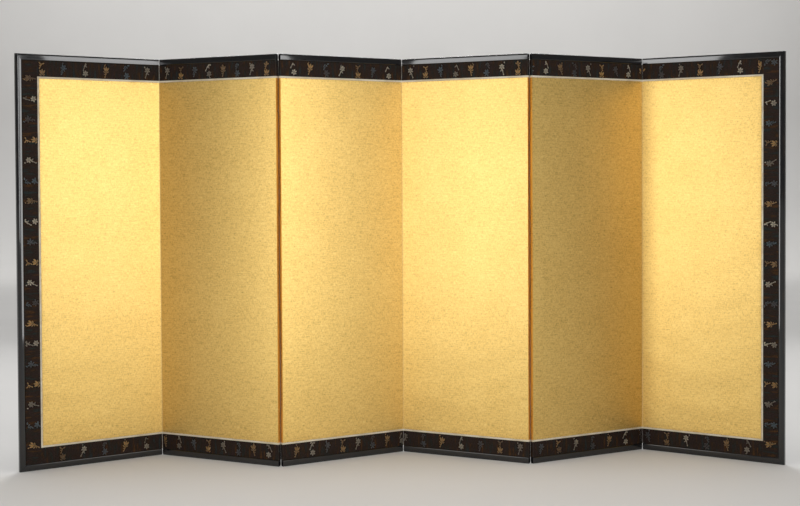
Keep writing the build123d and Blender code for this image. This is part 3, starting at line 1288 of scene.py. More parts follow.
@dataclass
class BackCover:
    """Printed paper over a panel's whole back."""

    panel: Panel
    step: float = 0.02

    def build(self) -> None:
        """Makes the sheet as if on the front of a mirrored panel, and turns it round."""
        panel, count = self.panel, len(SIZES.headings)
        mirrored = Matrix.Rotation(math.pi, 4, "Y")
        mirrored.translation = Vector((panel.width, 0, 0))
        number = count + 1 - panel.number if panel.number in (1, count) else panel.number
        flipped = Panel(number, panel.origin, panel.heading, panel.width)
        sheet = FrontSheet(flipped, flipped.left, flipped.right, SIZES.gold_face, self.step, side=-1)
        levels = [(y, 0.0) for y in spread(SIZES.papered_low, SIZES.papered_high, self.step)]
        piece = sheet.mesh(levels, flat_surface).build(
            f"{panel.body}_printed_back", panel.standing @ mirrored, [FINISHES.back])
        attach(piece, panel.body)
        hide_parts(f"{panel.body}_back_cover")


# ---- brocade
RIDGED_FACES = ((0, 1, 6), (1, 2, 7, 6), (2, 3, 7), (3, 4, 7), (4, 5, 6, 7), (5, 0, 6), (5, 4, 3, 2, 1, 0))


@dataclass(frozen=True)
class Petal:
    """One small float of silk, a low pointed oval.

    Args:
        x: middle, in mm.
        y: middle, in mm.
        length: in mm.
        width: in mm.
        turn: direction of its length, in degrees.
        shade: from 0, dark, to 1, full colour.
    """

    x: float
    y: float
    length: float
    width: float
    turn: float
    shade: float = 1.0

    def points(self) -> list[Place]:
        """Outline of six points and a ridge of two.

        Returns:
            The points, in metres.
        """
        outline = [(-0.5, 0), (-0.24, -0.5), (0.26, -0.46), (0.5, 0), (0.26, 0.46), (-0.24, 0.5)]
        ring = [(a * self.length, b * self.width, -0.03) for a, b in outline]
        ridge = [(-0.2 * self.length, 0.0, 0.22), (0.24 * self.length, 0.0, 0.24)]
        c, s = math.cos(math.radians(self.turn)), math.sin(math.radians(self.turn))
        turned = [(a * c - b * s, a * s + b * c, z) for a, b, z in ring + ridge]
        return [((self.x + a) * MM, (self.y + b) * MM, z * MM) for a, b, z in turned]

    def shades(self) -> list[float]:
        """Painted shade and highlight of each point: shade on the edge, where it is sunk into the cloth, and
        a highlight on the ridge.
        """
        return [self.shade * 0.22] * 6 + [self.shade * 1.15] * 2


# each petal's x, y, length, width, turn and, where it isn't full, shade
FIGURES = {
    Hue.CREAM: (  # a chrysanthemum on its stem
        (2.0, 15.5, 10, 7.0, 75), (8.0, 12.0, 10, 6.5, 30, 0.9),
        (-4.2, 12.5, 10, 6.5, 125, 0.9), (8.2, 4.6, 10, 6.5, -30, 0.8),
        (-5.4, 5.0, 10.5, 6.5, 205), (1.8, 1.6, 11, 7.0, 262, 0.85),
        (1.8, 8.6, 8, 7.5, 70, 0.55), (-3.2, -5.2, 13, 5.0, 66, 0.9),
        (3.6, -6.6, 10, 4.4, -35, 0.7), (-6.4, -13.6, 10, 3.6, 60, 0.8),
        (-8.8, -19.6, 7, 5.0, 80),
    ),
    Hue.GOLD: (  # a tulip-shaped bud between two leaves
        (-5.2, 9.6, 18, 7.2, 112), (1.4, 12.4, 18, 6.8, 86, 0.8),
        (8.2, 9.2, 17, 7.0, 58), (1.2, 3.0, 12, 8.0, 88, 0.65),
        (-6.6, -1.6, 12, 5.2, 140, 0.8), (7.2, -1.8, 11, 5.0, 32, 0.75),
        (-0.6, -7.4, 13, 4.6, 80, 0.9), (-5.4, -10.6, 9, 4.2, 150, 0.6),
        (-3.0, -16.0, 9, 3.4, 70, 0.7), (-5.2, -20.4, 6, 5.0, 60),
    ),
    Hue.BLUE: (  # bellflowers on a spray
        (-3.6, 14.0, 11, 6.6, 100), (4.2, 12.6, 12, 7.0, 66, 0.8),
        (9.0, 5.4, 10, 6.0, 15, 0.9), (-7.4, 6.6, 10, 6.4, 160, 0.7),
        (1.0, 5.0, 11, 7.6, 75, 0.9), (3.8, -2.4, 10, 5.4, -50, 0.7),
        (-4.4, -2.0, 11, 5.6, 60, 0.8), (-2.0, -10.2, 11, 4.0, 72, 0.7),
        (-7.0, -9.4, 8, 4.0, 160, 0.6), (-5.8, -17.4, 9, 4.4, 62, 0.9),
    ),
}


@dataclass
class FigureCloth:
    """Weaves rows of figures over a strip of cloth.

    Args:
        rows: how many figures each column has, before what lies past the strip is left out.
        tilt: how far a figure may turn to either side, in radians.
    """

    rows: int = 5
    tilt: float = 0.16

    def __post_init__(self) -> None:
        """Draws the motifs and lays out the tree."""
        self.leaning = {lean: self.motifs(lean) for lean in (-1, 1)}
        self.recipe = self.weave()

    def motifs(self, lean: int) -> bpy.types.Collection:
        """The three figures as separate objects in a collection of their own.

        Args:
            lean: -1 mirrors them left to right.

        Returns:
            The collection, which isn't in the scene.
        """
        shelf = bpy.data.collections.new(f"figures_{'left' if lean < 0 else 'right'}")
        for hue in Hue:
            points, faces, shades = [], [], []
            for petal in (Petal(*floats) for floats in FIGURES[hue]):
                first = len(points)
                points += [(lean * x, y, z) for x, y, z in petal.points()]
                shades += petal.shades()
                faces += [[first + n for n in face[::lean]] for face in RIDGED_FACES]
            mesh = bpy.data.meshes.new(f"figure_{hue.value}_{shelf.name}")
            mesh.from_pydata(points, [], faces)
            mesh.attributes.new("petal_shade", "FLOAT", "POINT").data.foreach_set("value", shades)
            shelf.objects.link(bpy.data.objects.new(mesh.name, mesh))
        return shelf

    def weave(self) -> Recipe:
        """Lays out the tree that repeats the figures in a half drop and leaves out what is cut off.

        Returns:
            The recipe.
        """
        cloth = Recipe(
            "woven_figures", Figures="Collection", Length="Float", Width="Float", Pitch="Float",
            Drop="Float", Start="Float", First_Hue="Int", Hue_Step="Int", Figure_Size="Float",
            Jitter="Float", Seed="Int", Fade="Float", Margin="Float", Finish="Material",
        )
        given, rows, seed = cloth.given, float(self.rows), cloth.given["Seed"]
        columns = cloth.plus(cloth.calc("CEIL", cloth.over(given["Length"], given["Pitch"])), 2.0)
        count = cloth.times(columns, rows)
        points = cloth.node("MeshLine", Count=count, Offset=(0, 0, 0))
        number = cloth.node("InputIndex")
        column = cloth.calc("FLOOR", cloth.over(cloth.plus(number, 0.5), rows))
        row = cloth.minus(number, cloth.times(column, rows))
        shake = []
        for salt in (0.0, 31.0):
            drawn = cloth.luck(-1.0, 1.0, cloth.plus(seed, salt), ID=number)
            shake.append(cloth.times(drawn, given["Jitter"]))
        x = cloth.plus(given["Start"], cloth.times(column, given["Pitch"]), shake[0])
        half_drop = cloth.times(cloth.calc("MODULO", column, 2.0), 0.5)
        step = cloth.plus(cloth.minus(row, (rows - 1) / 2), half_drop)
        middle = cloth.times(given["Width"], 0.5)
        y = cloth.plus(middle, cloth.times(step, given["Drop"]), shake[1])
        laid = cloth.node("SetPosition", Geometry=points, Position=cloth.joined(x, y, 0.0))
        shift = cloth.times(column, given["Hue Step"])
        hue = cloth.calc("MODULO", cloth.plus(given["First Hue"], shift), float(len(Hue)))
        turn = cloth.luck(-self.tilt, self.tilt, seed, ID=number)
        shelf = cloth.node(
            "CollectionInfo", Collection=given["Figures"], Separate_Children=True, Reset_Children=True)
        placed = cloth.node(
            "InstanceOnPoints", Points=laid, Instance=shelf, Pick_Instance=True, Instance_Index=hue,
            Rotation=cloth.joined(0.0, 0.0, turn),
            Scale=cloth.joined(given["Figure Size"], given["Figure Size"], 1.0))
        hued = cloth.labelled(placed, "figure_hue", hue)
        lucky = cloth.labelled(hued, "figure_luck", cloth.luck(given["Fade"], 1.0, seed))
        real = cloth.node("RealizeInstances", Geometry=lucky)
        cloth.finish(self.trimmed(cloth, real))
        return cloth

    def trimmed(self, cloth: Recipe, figures: Socket) -> Socket:
        """Leaves out every petal that comes within a margin of the cloth's edges.

        Args:
            cloth: the tree.
            figures: all the figures' petals.

        Returns:
            The petals that stay.
        """
        given = cloth.given
        here = cloth.parts(cloth.node("InputPosition"))
        beyond = []
        for reach, place in ((given["Length"], here[0]), (given["Width"], here[1])):
            beyond.append(cloth.minus(given["Margin"], place))
            beyond.append(cloth.minus(cloth.plus(place, given["Margin"]), reach))
        worst = reduce(lambda first, second: cloth.calc("MAXIMUM", first, second), beyond)
        outside = cloth.calc("GREATER_THAN", worst, 0.0)
        island = cloth.add("GeometryNodeInputMeshIsland").outputs["Island Index"]
        added = cloth.add("GeometryNodeAccumulateField", {"Value": outside, "Group ID": island})
        cut = cloth.calc("GREATER_THAN", added.outputs["Total"], 0.5)
        return cloth.node("DeleteGeometry", Geometry=figures, Selection=cut)


@dataclass(frozen=True)
class ClothCut:
    """How one strip was cut from the brocade.

    Args:
        start: place of the first column of figures along the strip.
        pitch: distance between columns.
        first: hue of the first column.
        drift: order of the hues.
        lean: which way the figures lean.
        luck: seed of the small irregularities.
    """

    start: float
    pitch: float
    first: Hue
    drift: Drift
    lean: int
    luck: int


@dataclass
class BrocadeStrip:
    """One strip of the brocade border, with its woven figures.

    Args:
        panel: its panel.
        run: which edge it lies along.
        cut: how it was cut from the cloth.
        weaver: makes the figures.
        step: distance between its points.
        drop: distance between the figures of a column.
        rounded: points of its eased edge, as (distance from it, how far the surface is let down).
        figure_size: of its figures, in drawn ones.
        jitter: how far a figure may be off its place.
        margin: bare width along the cloth's edges.
        lift: how far the figures stand off the cloth.
        unevenness: how far the pasted cloth rises and falls.
        uneven_turns: how closely it does, in rises per metre.
    """

    panel: Panel
    run: Run
    cut: ClothCut
    weaver: FigureCloth
    step: float = 0.012
    drop: float = 0.0460
    rounded: tuple[Pair, ...] = ((0.0, 0.00030), (0.0006, 0.00008), (0.0016, 0.0))
    figure_size: float = 1.10
    jitter: float = 0.0022
    margin: float = 0.0008
    lift: float = 0.00002
    unevenness: float = 0.00004
    uneven_turns: float = 60.0

    @property
    def fade(self) -> float:
        """How far its figures are rubbed, at the least: most near the floor."""
        return 0.5 if self.run is Run.BOTTOM else 0.05

    def name(self, kind: str) -> str:
        """Name of one of the strip's pieces."""
        return f"{self.panel.body}_{kind}_{self.run.value}"

    def levels(self, low: float) -> list[Pair]:
        """Rows or columns over the strip's width, with both its edges eased.

        Args:
            low: place of its low edge.

        Returns:
            Each one's place, and how far its surface is let down there.
        """
        high, eased = low + SIZES.brocade_width, self.rounded[-1][0]
        rows = [(low + d, drop) for d, drop in self.rounded]
        rows += [(place, 0.0) for place in spread(low + eased, high - eased, self.step)[1:-1]]
        return rows + [(high - d, drop) for d, drop in reversed(self.rounded)]

    def ground(self) -> tuple[Piece, float, Matrix]:
        """Makes the strip's cloth.

        Returns:
            The piece, its length, and the strip's frame in the screen's.
        """
        width, face, standing = SIZES.brocade_width, SIZES.brocade_face, self.panel.standing
        if self.run in (Run.TOP, Run.BOTTOM):
            left, right = self.panel.inside(width + SIZES.strip_joint)
            low = SIZES.papered_low if self.run is Run.BOTTOM else SIZES.papered_high - width
            mesh = FrontSheet(self.panel, left, right, face, self.step).mesh(self.levels(low), self.relief)
            piece = mesh.build(self.name("brocade"), standing, [FINISHES.brocade])
            return piece, right - left, standing @ Matrix.Translation((left, low, face))
        left = self.panel.left if self.run is Run.LEFT else self.panel.right - width
        low, high = SIZES.papered_low, SIZES.papered_high
        mesh = side_strip(self.levels(left), spread(low, high, self.step), face, self.relief)
        piece = mesh.build(self.name("brocade"), standing, [FINISHES.upright_brocade])
        return piece, high - low, standing @ Matrix.Translation((left + width, low, face)) @ QUARTER_TURN

    def relief(self, x: float, y: float) -> float:
        """Slight unevenness of the pasted cloth."""
        turns = self.uneven_turns
        return self.unevenness * noise.noise(Vector((x * turns, y * turns, self.cut.luck)))

    def build(self) -> None:
        """Makes the cloth and its figures and puts them on the panel."""
        piece, length, place = self.ground()
        figures = self.weaver.recipe.make(
            self.name("figures"), place @ Matrix.Translation((0, 0, self.lift)),
            Figures=self.weaver.leaning[self.cut.lean], Length=length, Width=SIZES.brocade_width,
            Pitch=self.cut.pitch, Drop=self.drop, Start=self.cut.start, First_Hue=self.cut.first.value,
            Hue_Step=self.cut.drift.value, Figure_Size=self.figure_size, Jitter=self.jitter,
            Seed=self.cut.luck, Fade=self.fade, Margin=self.margin, Finish=FINISHES.figures,
        )
        for part in (piece, figures):
            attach(part, self.panel.body)
        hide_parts(f"{self.panel.body}_brocade_border")


# ---- inner border
@dataclass
class CouchedThread:
    """Lays a twisted thread along a line.

    Args:
        pitch: distance between its twists.
        slant: how far each lies across the line, in radians.
        uneven: how much paler one twist may be than the next, from 0 to 1.
        pale_strand: how much paler every other twist is.
    """

    pitch: float = 0.0023
    slant: float = 0.3
    uneven: float = 0.35
    pale_strand: float = 0.6

    def __post_init__(self) -> None:
        """Lays out the tree and its one twist."""
        self.recipe = self.lay()
        self.twist = self.one_twist()

    def one_twist(self) -> Piece:
        """Makes one turn of the thread, a low closed lozenge, from points in mm.

        Returns:
            The twist, which isn't in the scene.
        """
        points = [
            (-1.25, -0.15, -0.05), (-0.35, -0.55, -0.05), (0.85, -0.45, -0.05), (1.25, 0.15, -0.05),
            (0.35, 0.55, -0.05), (-0.85, 0.45, -0.05), (-0.45, -0.05, 0.48), (0.45, 0.05, 0.48),
        ]
        mesh = bpy.data.meshes.new("thread_twist")
        mesh.from_pydata([(x * MM, y * MM, z * MM) for x, y, z in points], [], RIDGED_FACES)
        return bpy.data.objects.new("thread_twist", mesh)

    def lay(self) -> Recipe:
        """Lays out the tree that repeats the twist along a straight line.

        Returns:
            The recipe.
        """
        thread = Recipe(
            "couched_thread", Twist="Object", Length="Float", Pitch="Float", Turn="Float", Seed="Int",
            Finish="Material",
        )
        given = thread.given
        count = thread.calc("FLOOR", thread.over(given["Length"], given["Pitch"]))
        used = thread.times(thread.minus(count, 1.0), given["Pitch"])
        start = thread.times(thread.minus(given["Length"], used), 0.5)
        line = thread.node("MeshLine", Count=count, Start_Location=thread.joined(start, 0.0, 0.0),
                           Offset=thread.joined(given["Pitch"], 0.0, 0.0))
        twist = thread.add("GeometryNodeObjectInfo", {"Object": given["Twist"]}).outputs["Geometry"]
        turn = thread.joined(0.0, 0.0, given["Turn"])
        placed = thread.node("InstanceOnPoints", Points=line, Instance=twist, Rotation=turn)
        number = thread.node("InputIndex")
        luck = thread.luck(0.0, self.uneven, given["Seed"], ID=number)
        strand = thread.times(thread.calc("MODULO", number, 2.0), self.pale_strand)
        thread.finish(thread.labelled(placed, "turn_luck", thread.plus(luck, strand)))
        return thread


@dataclass
class InnerBorder:
    """Pale silk strips between the brocade and the gold, edged with a twisted thread.

    Args:
        panel: its panel.
        layer: lays the thread.
        step: distance between its points.
        cut_width: width of a strip before its edge is turned under; not used.
        thread_line: distance of the thread's middle from the strip's inner edge.
        thread_stop: how far from a seam the thread ends.
        ledge: how far the ledge lies below the strip's crown.
        crown: points across a strip from the brocade inwards, as (distance, how far it is let down).
    """

    panel: Panel
    layer: CouchedThread
    step: float = 0.03
    cut_width: float = 0.010
    thread_line: float = 0.0009
    thread_stop: float = 0.0018
    ledge: float = 0.0005
    crown: tuple[Pair, ...] = (
        (0.0, 0.00055), (0.0004, 0.00025), (0.0012, 0.00008), (0.0040, 0.0),
        (0.0056, 0.00006), (0.0062, 0.00045), (0.0080, 0.00050),
    )

    def crowned(self, edge: float, inwards: int) -> list[Pair]:
        """The crown's points in rising order, for the place of its edge by the brocade."""
        return [(edge + inwards * d, drop) for d, drop in self.crown][::inwards]

    def strip(self, run: Run) -> None:
        """Makes one strip, whose crown falls to a narrow ledge beside the gold.

        Args:
            run: which edge it lies along.
        """
        panel, inset, face = self.panel, SIZES.brocade_width, SIZES.inner_border_face
        low, high = SIZES.papered_low + inset, SIZES.papered_high - inset
        if run in (Run.TOP, Run.BOTTOM):
            left, right = panel.inside(SIZES.border + SIZES.strip_joint)
            levels = self.crowned(low, 1) if run is Run.BOTTOM else self.crowned(high, -1)
            mesh = FrontSheet(panel, left, right, face, self.step).mesh(levels, flat_surface)
        else:
            edge, inwards = (panel.left + inset, 1) if run is Run.LEFT else (panel.right - inset, -1)
            mesh = side_strip(self.crowned(edge, inwards), spread(low, high, self.step), face, flat_surface)
        piece = mesh.build(f"{panel.body}_inner_border_{run.value}", panel.standing, [FINISHES.silk])
        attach(piece, panel.body)
        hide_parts(f"{panel.body}_inner_border")
        thread = self.thread(run)

    def thread(self, run: Run) -> Piece:
        """Lays the thread along one strip's ledge.

        Args:
            run: which strip.

        Returns:
            The piece.
        """
        panel, reach = self.panel, SIZES.border - self.thread_line
        low, high = SIZES.papered_low + reach, SIZES.papered_high - reach
        left, right = panel.inside(SIZES.border)
        face = SIZES.inner_border_face - self.ledge
        if run in (Run.TOP, Run.BOTTOM):
            start = left + (0 if panel.left_stile else self.thread_stop)
            end = right - (0 if panel.right_stile else self.thread_stop)
            place = Matrix.Translation((start, high if run is Run.TOP else low, face))
            length = end - start
        else:
            x = panel.left + reach if run is Run.LEFT else panel.right - reach
            place = Matrix.Translation((x, low, face)) @ QUARTER_TURN
            length = high - low
        piece = self.layer.recipe.make(
            f"{panel.body}_edge_thread_{run.value}", panel.standing @ place,
            Twist=self.layer.twist, Length=length, Pitch=self.layer.pitch, Turn=self.layer.slant,
            Seed=panel.number, Finish=FINISHES.thread,
        )
        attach(piece, panel.body)
        return piece

    def build(self) -> None:
        """Makes every strip that the panel has."""
        for run in runs_of(self.panel):
            self.strip(run)


def runs_of(panel: Panel) -> list[Run]:
    """Edges of a panel that have a border strip and a lacquer bar."""
    missing = {Run.LEFT: not panel.left_stile, Run.RIGHT: not panel.right_stile}
    return [run for run in Run if not missing.get(run)]


# ---- lacquer frame
@dataclass
class LacquerBar:
    """Sweeps the lacquer section along a bar and slants its ends.

    Args:
        arris_radius: how round its eased arrises are.
        arris_steps: faces round each.
        centre: middle of the section's width.
        second_ring: place of an end's second ring, as a share of its rounding.
        second_draw: how far that ring is drawn in, as a share of the first.
        ripples: how many its faces have in a metre.
        half_section: points of its front from the paper outwards, as (distance, height, is eased).
    """

    arris_radius: float = 0.0011
    arris_steps: int = 3
    centre: float = 0.0135
    second_ring: float = 0.35
    second_draw: float = 0.3
    ripples: float = 9.0
    half_section: tuple[tuple[float, float, bool], ...] = (
        (0.000, 0.0079, False), (0.004, 0.00866, True), (0.0075, 0.00887, False), (0.0115, 0.00901, False),
        (0.0150, 0.00904, False), (0.018, 0.00901, False), (0.021, 0.00890, True), (0.027, 0.0065, True),
    )

    def __post_init__(self) -> None:
        """Draws the section and lays out the tree."""
        back = [(x, -z, eased) for x, z, eased in self.half_section]
        self.section = back + list(reversed(self.half_section))
        self.profile = self.rounded_section()
        self.recipe = self.sweep()

    def rounded_section(self) -> Piece:
        """Draws the section round its middle, with its arrises eased.

        Returns:
            The section, as a closed curve.
        """
        corners = [Vector((x - self.centre, z)) for x, z, _ in self.section]
        points = []
        for n, here in enumerate(corners):
            if not self.section[n][2]:
                points.append(here)
                continue
            to_before = (corners[n - 1] - here).normalized()
            to_after = (corners[(n + 1) % len(corners)] - here).normalized()
            half = math.acos(max(-1.0, min(1.0, to_before.dot(to_after)))) / 2
            reach = self.arris_radius / math.tan(half)
            heart = here + (to_before + to_after).normalized() * (self.arris_radius / math.sin(half))
            start, end = here + to_before * reach - heart, here + to_after * reach - heart
            angle = math.pi - 2 * half
            for k in range(self.arris_steps + 1):
                share = k / self.arris_steps
                before, after = (math.sin(part * angle) / math.sin(angle) for part in (1 - share, share))
                points.append(heart + start * before + end * after)
        curve = bpy.data.curves.new("lacquer_section", "CURVE")
        curve.dimensions = "2D"
        line = curve.splines.new("POLY")
        line.points.add(len(points) - 1)
        for point, place in zip(line.points, points):
            point.co = (place.x, place.y, 0, 1)
        line.use_cyclic_u = True
        return bpy.data.objects.new("lacquer_section", curve)

    def sweep(self) -> Recipe:
        """Lays out the tree: a straight line, its end rings drawn in, swept and then slanted.

        Returns:
            The recipe.
        """
        bar = Recipe(
            "lacquer_bar", Section="Object", Length="Float", Start_Slant="Float", End_Slant="Float",
            End_Round="Float", Rings="Int", Waviness="Float", Finish="Material",
        )
        given, length, to_round = bar.given, bar.given["Length"], bar.given["End Round"]
        line = bar.node("CurvePrimitiveLine", Start=(0, 0, 0), End=bar.joined(length, 0.0, 0.0))
        rings = bar.node("ResampleCurve", Curve=line, Count=given["Rings"])
        number = bar.node("InputIndex")
        last = bar.minus(given["Rings"], 1.0)
        from_start = [bar.near(number, float(n), 0.5) for n in range(3)]
        from_end = [bar.near(number, bar.minus(last, float(n)), 0.5) for n in range(3)]
        x = bar.parts(bar.node("InputPosition"))[0]
        close = bar.times(to_round, self.second_ring)
        for flag, place in (
            (from_start[1], close), (from_start[2], to_round),
            (from_end[1], bar.minus(length, close)), (from_end[2], bar.minus(length, to_round)),
        ):
            x = bar.plus(bar.times(x, bar.minus(1.0, flag)), bar.times(place, flag))
        spaced = bar.node("SetPosition", Geometry=rings, Position=bar.joined(x, 0.0, 0.0))
        straight = bar.add("GeometryNodeSetCurveNormal", {"Curve": spaced}, mode="Z_UP").outputs[0]
        ends = bar.plus(from_start[0], from_end[0])
        seconds = bar.times(bar.plus(from_start[1], from_end[1]), self.second_draw)
        drawn_in = bar.times(bar.over(to_round, self.centre), bar.plus(ends, seconds))
        sized = bar.node("SetCurveRadius", Curve=straight, Radius=bar.minus(1.0, drawn_in))
        profile = bar.add("GeometryNodeObjectInfo", {"Object": given["Section"]}).outputs["Geometry"]
        swept = bar.node(
            "CurveToMesh", Curve=sized, Profile_Curve=profile, Scale=bar.node("InputRadius"), Fill_Caps=True)
        here = bar.node("InputPosition")
        now = bar.parts(here)
        outward = bar.minus(self.centre, now[1])
        along = bar.over(now[0], length)
        shift = bar.plus(bar.times(given["Start Slant"], outward, bar.minus(1.0, along)),
                         bar.times(given["End Slant"], outward, along))
        spots = {"Vector": here, "Scale": self.ripples, "Detail": 1.0}
        ripple = bar.add("ShaderNodeTexNoise", spots).outputs[0]
        wave = bar.times(bar.minus(ripple, 0.5), given["Waviness"])
        moved = bar.joined(shift, -self.centre, bar.times(wave, bar.calc("SIGN", now[2])))
        bar.finish(bar.node("SetPosition", Geometry=swept, Offset=moved))
        return bar


@dataclass
class LacquerFrame:
    """Lacquer rails of one panel, and the stile that an end panel has.

    Args:
        panel: its panel.
        bar: sweeps the section.
        ring_step: distance between a bar's rings.
        fewest_rings: how many a short bar has.
        mitre_round: how round an end is where it meets another bar in a mitre.
        end_round: how round a free end is.
        waviness: how far its faces rise and fall.
        rub: how far from an arris it is rubbed.
        back_shift: how far the pattern on a bar's back is moved from the one on its front.
    """

    panel: Panel
    bar: LacquerBar
    ring_step: float = 0.04
    fewest_rings: int = 8
    mitre_round: float = 0.0004
    end_round: float = 0.0009
    waviness: float = 0.00006
    rub: float = 0.0012
    back_shift: float = 0.03

    def sweep(self, name: str, length: float, slants: Pair, place: Matrix) -> Piece:
        """Makes one bar.

        Args:
            name: its piece's name.
            length: along the paper's edge.
            slants: how far each end leans along the bar for each metre outwards.
            place: the bar's frame in the panel's.

        Returns:
            The piece.
        """
        free = slants == (0.0, 0.0)
        place = self.panel.standing @ place
        piece = self.bar.recipe.make(
            name, place, Section=self.bar.profile, Length=length, Start_Slant=slants[0], End_Slant=slants[1],
            End_Round=self.end_round if free else self.mitre_round, Waviness=self.waviness,
            Rings=max(self.fewest_rings, round(length / self.ring_step)), Finish=FINISHES.lacquer,
        )
        self.paint(piece.data, place)
        return piece

    def paint(self, mesh: bpy.types.Mesh, place: Matrix) -> None:
        """Gives a bar its map, and marks where its arrises are rubbed.

        Args:
            mesh: the bar's mesh.
            place: the bar's frame in the screen's.
        """
        back = place.inverted()
        local = [back @ v.co for v in mesh.vertices]
        layer = mesh.uv_layers.new(name="surface")
        for face in mesh.polygons:
            for loop in face.loop_indices:
                p = local[mesh.loops[loop].vertex_index]
                layer.data[loop].uv = (p.x, -p.y + (self.back_shift if p.z < 0 else 0.0))
        arrises = [(x, z) for x, z, eased in self.bar.section if eased]
        marks = []
        for p in local:
            near = min(math.hypot(-p.y - x, p.z - z) for x, z in arrises)
            marks.append(max(0.0, 1.0 - near / self.rub))
        mesh.attributes.new("arris", "FLOAT", "POINT").data.foreach_set("value", marks)

    def rail(self, run: Run) -> Piece:
        """Makes a rail.

        Args:
            run: whether it is the top or the bottom one.

        Returns:
            The piece.
        """
        left, right = self.panel.left, self.panel.right
        slants = (-1.0 if self.panel.left_stile else 0.0, 1.0 if self.panel.right_stile else 0.0)
        if run is Run.BOTTOM:
            place = Matrix.Translation((left, SIZES.papered_low, 0))
        else:
            place = Matrix.Translation((left, SIZES.papered_high, 0)) @ Matrix.Rotation(math.pi, 4, "X")
        return self.sweep(f"{self.panel.body}_lacquer_rail_{run.value}", right - left, slants, place)

    def stile(self, run: Run) -> Piece:
        """Makes the outer stile.

        Args:
            run: whether it is on the left or the right.

        Returns:
            The piece.
        """
        low, high = SIZES.papered_low, SIZES.papered_high
        if run is Run.RIGHT:
            place = Matrix.Translation((self.panel.right, low, 0))
        else:
            place = Matrix.Translation((self.panel.left, low, 0)) @ Matrix.Rotation(math.pi, 4, "Y")
        name = f"{self.panel.body}_lacquer_stile_{run.value}"
        return self.sweep(name, high - low, (-1.0, 1.0), place @ QUARTER_TURN)

    def build(self) -> None:
        """Makes the bars and puts them on the panel."""
        for run in runs_of(self.panel):
            if run in (Run.TOP, Run.BOTTOM):
                piece, node = self.rail(run), "lacquer_rails"
            else:
                piece, node = self.stile(run), "lacquer_stile"
            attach(piece, self.panel.body)
            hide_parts(f"{self.panel.body}_{node}")


# ---- hinges
@dataclass
class SeamHinge:
    """Both sets of paper strips that join two panels.

    Args:
        seam: named after the panel on its left.
        panels: all the panels.
        shares: how the papered height is shared among the strips, from the top down.
        gap: distance between two strips.
        still_panel: the panel that the others fold towards.
        half_thick: half a strip's thickness.
        half_edge: half its thickness at the pivot lines, where it thins out.
        reach: how far from the middle of the panel's thickness a strip ends.
        thinning: how far out it starts to thin.
        rib: where it has one more column each side of its middle.
        step: distance between its rows.
    """

    seam: int
    panels: list[Panel]
    shares: tuple[float, ...] = (0.13, 0.245, 0.25, 0.245, 0.13)
    gap: float = 0.001
    still_panel: int = 3
    half_thick: float = 0.0002
    half_edge: float = 0.00002
    reach: float = 0.00912
    thinning: float = 0.0073
    rib: float = 0.0025
    step: float = 0.03

    def heights(self) -> list[Pair]:
        """Shares the papered height among the strips.

        Returns:
            Each strip's low and high end, from the top down.
        """
        papered = SIZES.papered_high - SIZES.papered_low
        top, made = SIZES.papered_high, []
        for share in self.shares:
            low = top - share / sum(self.shares) * papered
            made.append((low + self.gap / 2, top - self.gap / 2))
            top = low
        return made

    def strip(self, x: float, low: float, high: float) -> SheetMesh:
        """One strip, whose two ends thin out to the pivot lines.

        Args:
            x: place of the panel's edge that it lies along.
            low: its bottom.
            high: its top.

        Returns:
            The closed sheet.
        """
        joints = [SIZES.gold_low, SIZES.papered_low + SIZES.brocade_width]
        joints += [SIZES.gold_high, SIZES.papered_high - SIZES.brocade_width]
        joints = [y for y in joints if low < y < high]
        levels = sorted({*joints, *spread(low, high, self.step)})
        thick = self.half_thick
        front = [(self.reach, self.half_edge), (self.thinning, thick), (self.rib, thick)]
        line = front + [(-z, half) for z, half in reversed(front)]
        outer, inner = (
            [[(x + side * half, y, z) for y in levels] for z, half in line] for side in (1, -1)
        )
        return SheetMesh(outer, inner, [-z for z, _ in line], self.finish_at)

    def finish_at(self, y: float) -> int:
        """Finish of a strip at a height.

        Args:
            y: the height.

        Returns:
            0 for gilded paper, 1 for pale silk and 2 for brocade.
        """
        from_edge = min(y - SIZES.papered_low, SIZES.papered_high - y)
        if from_edge < SIZES.brocade_width:
            return 2
        return 1 if from_edge < SIZES.border else 0

    def build(self) -> None:
        """Makes both sets of strips and puts each on its own body."""
        left, right = self.panels[self.seam - 1], self.panels[self.seam]
        near, far = (left, right) if self.seam >= self.still_panel else (right, left)
        valley = self.seam % 2 == 1
        odd_on, even_on = (far, near) if valley else (near, far)
        heights = self.heights()
        for panel, chosen, kind in ((odd_on, heights[0::2], "odd"), (even_on, heights[1::2], "even")):
            x = panel.width if panel is left else 0.0
            body = f"hinge_{self.seam}_{self.seam + 1}_{kind}"
            for n, (low, high) in enumerate(chosen, start=1):
                strip = self.strip(x, low, high).build(
                    f"{body}_paper_{n}", panel.standing, [FINISHES.hinge, FINISHES.silk, FINISHES.brocade])
                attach(strip, body)
                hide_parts(f"{body}_strips")


# ---- wooden core
@dataclass
class HiddenCore:
    """The parts of a panel that its papers cover, kept as they are and given their finishes."""

    panel: Panel

    def build(self) -> None:
        """Gives the core frame, the lattice and the under papers their materials."""
        cedar = PlanedCedar().material(self.panel.heading)
        paper = MulberryPaper().material(self.panel.heading)
        for kind, material in (("core_frame", cedar), ("lattice", cedar), ("underpapers", paper)):
            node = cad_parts[f"{self.panel.body}_{kind}"]
            node.data.materials.clear()
            node.data.materials.append(material)


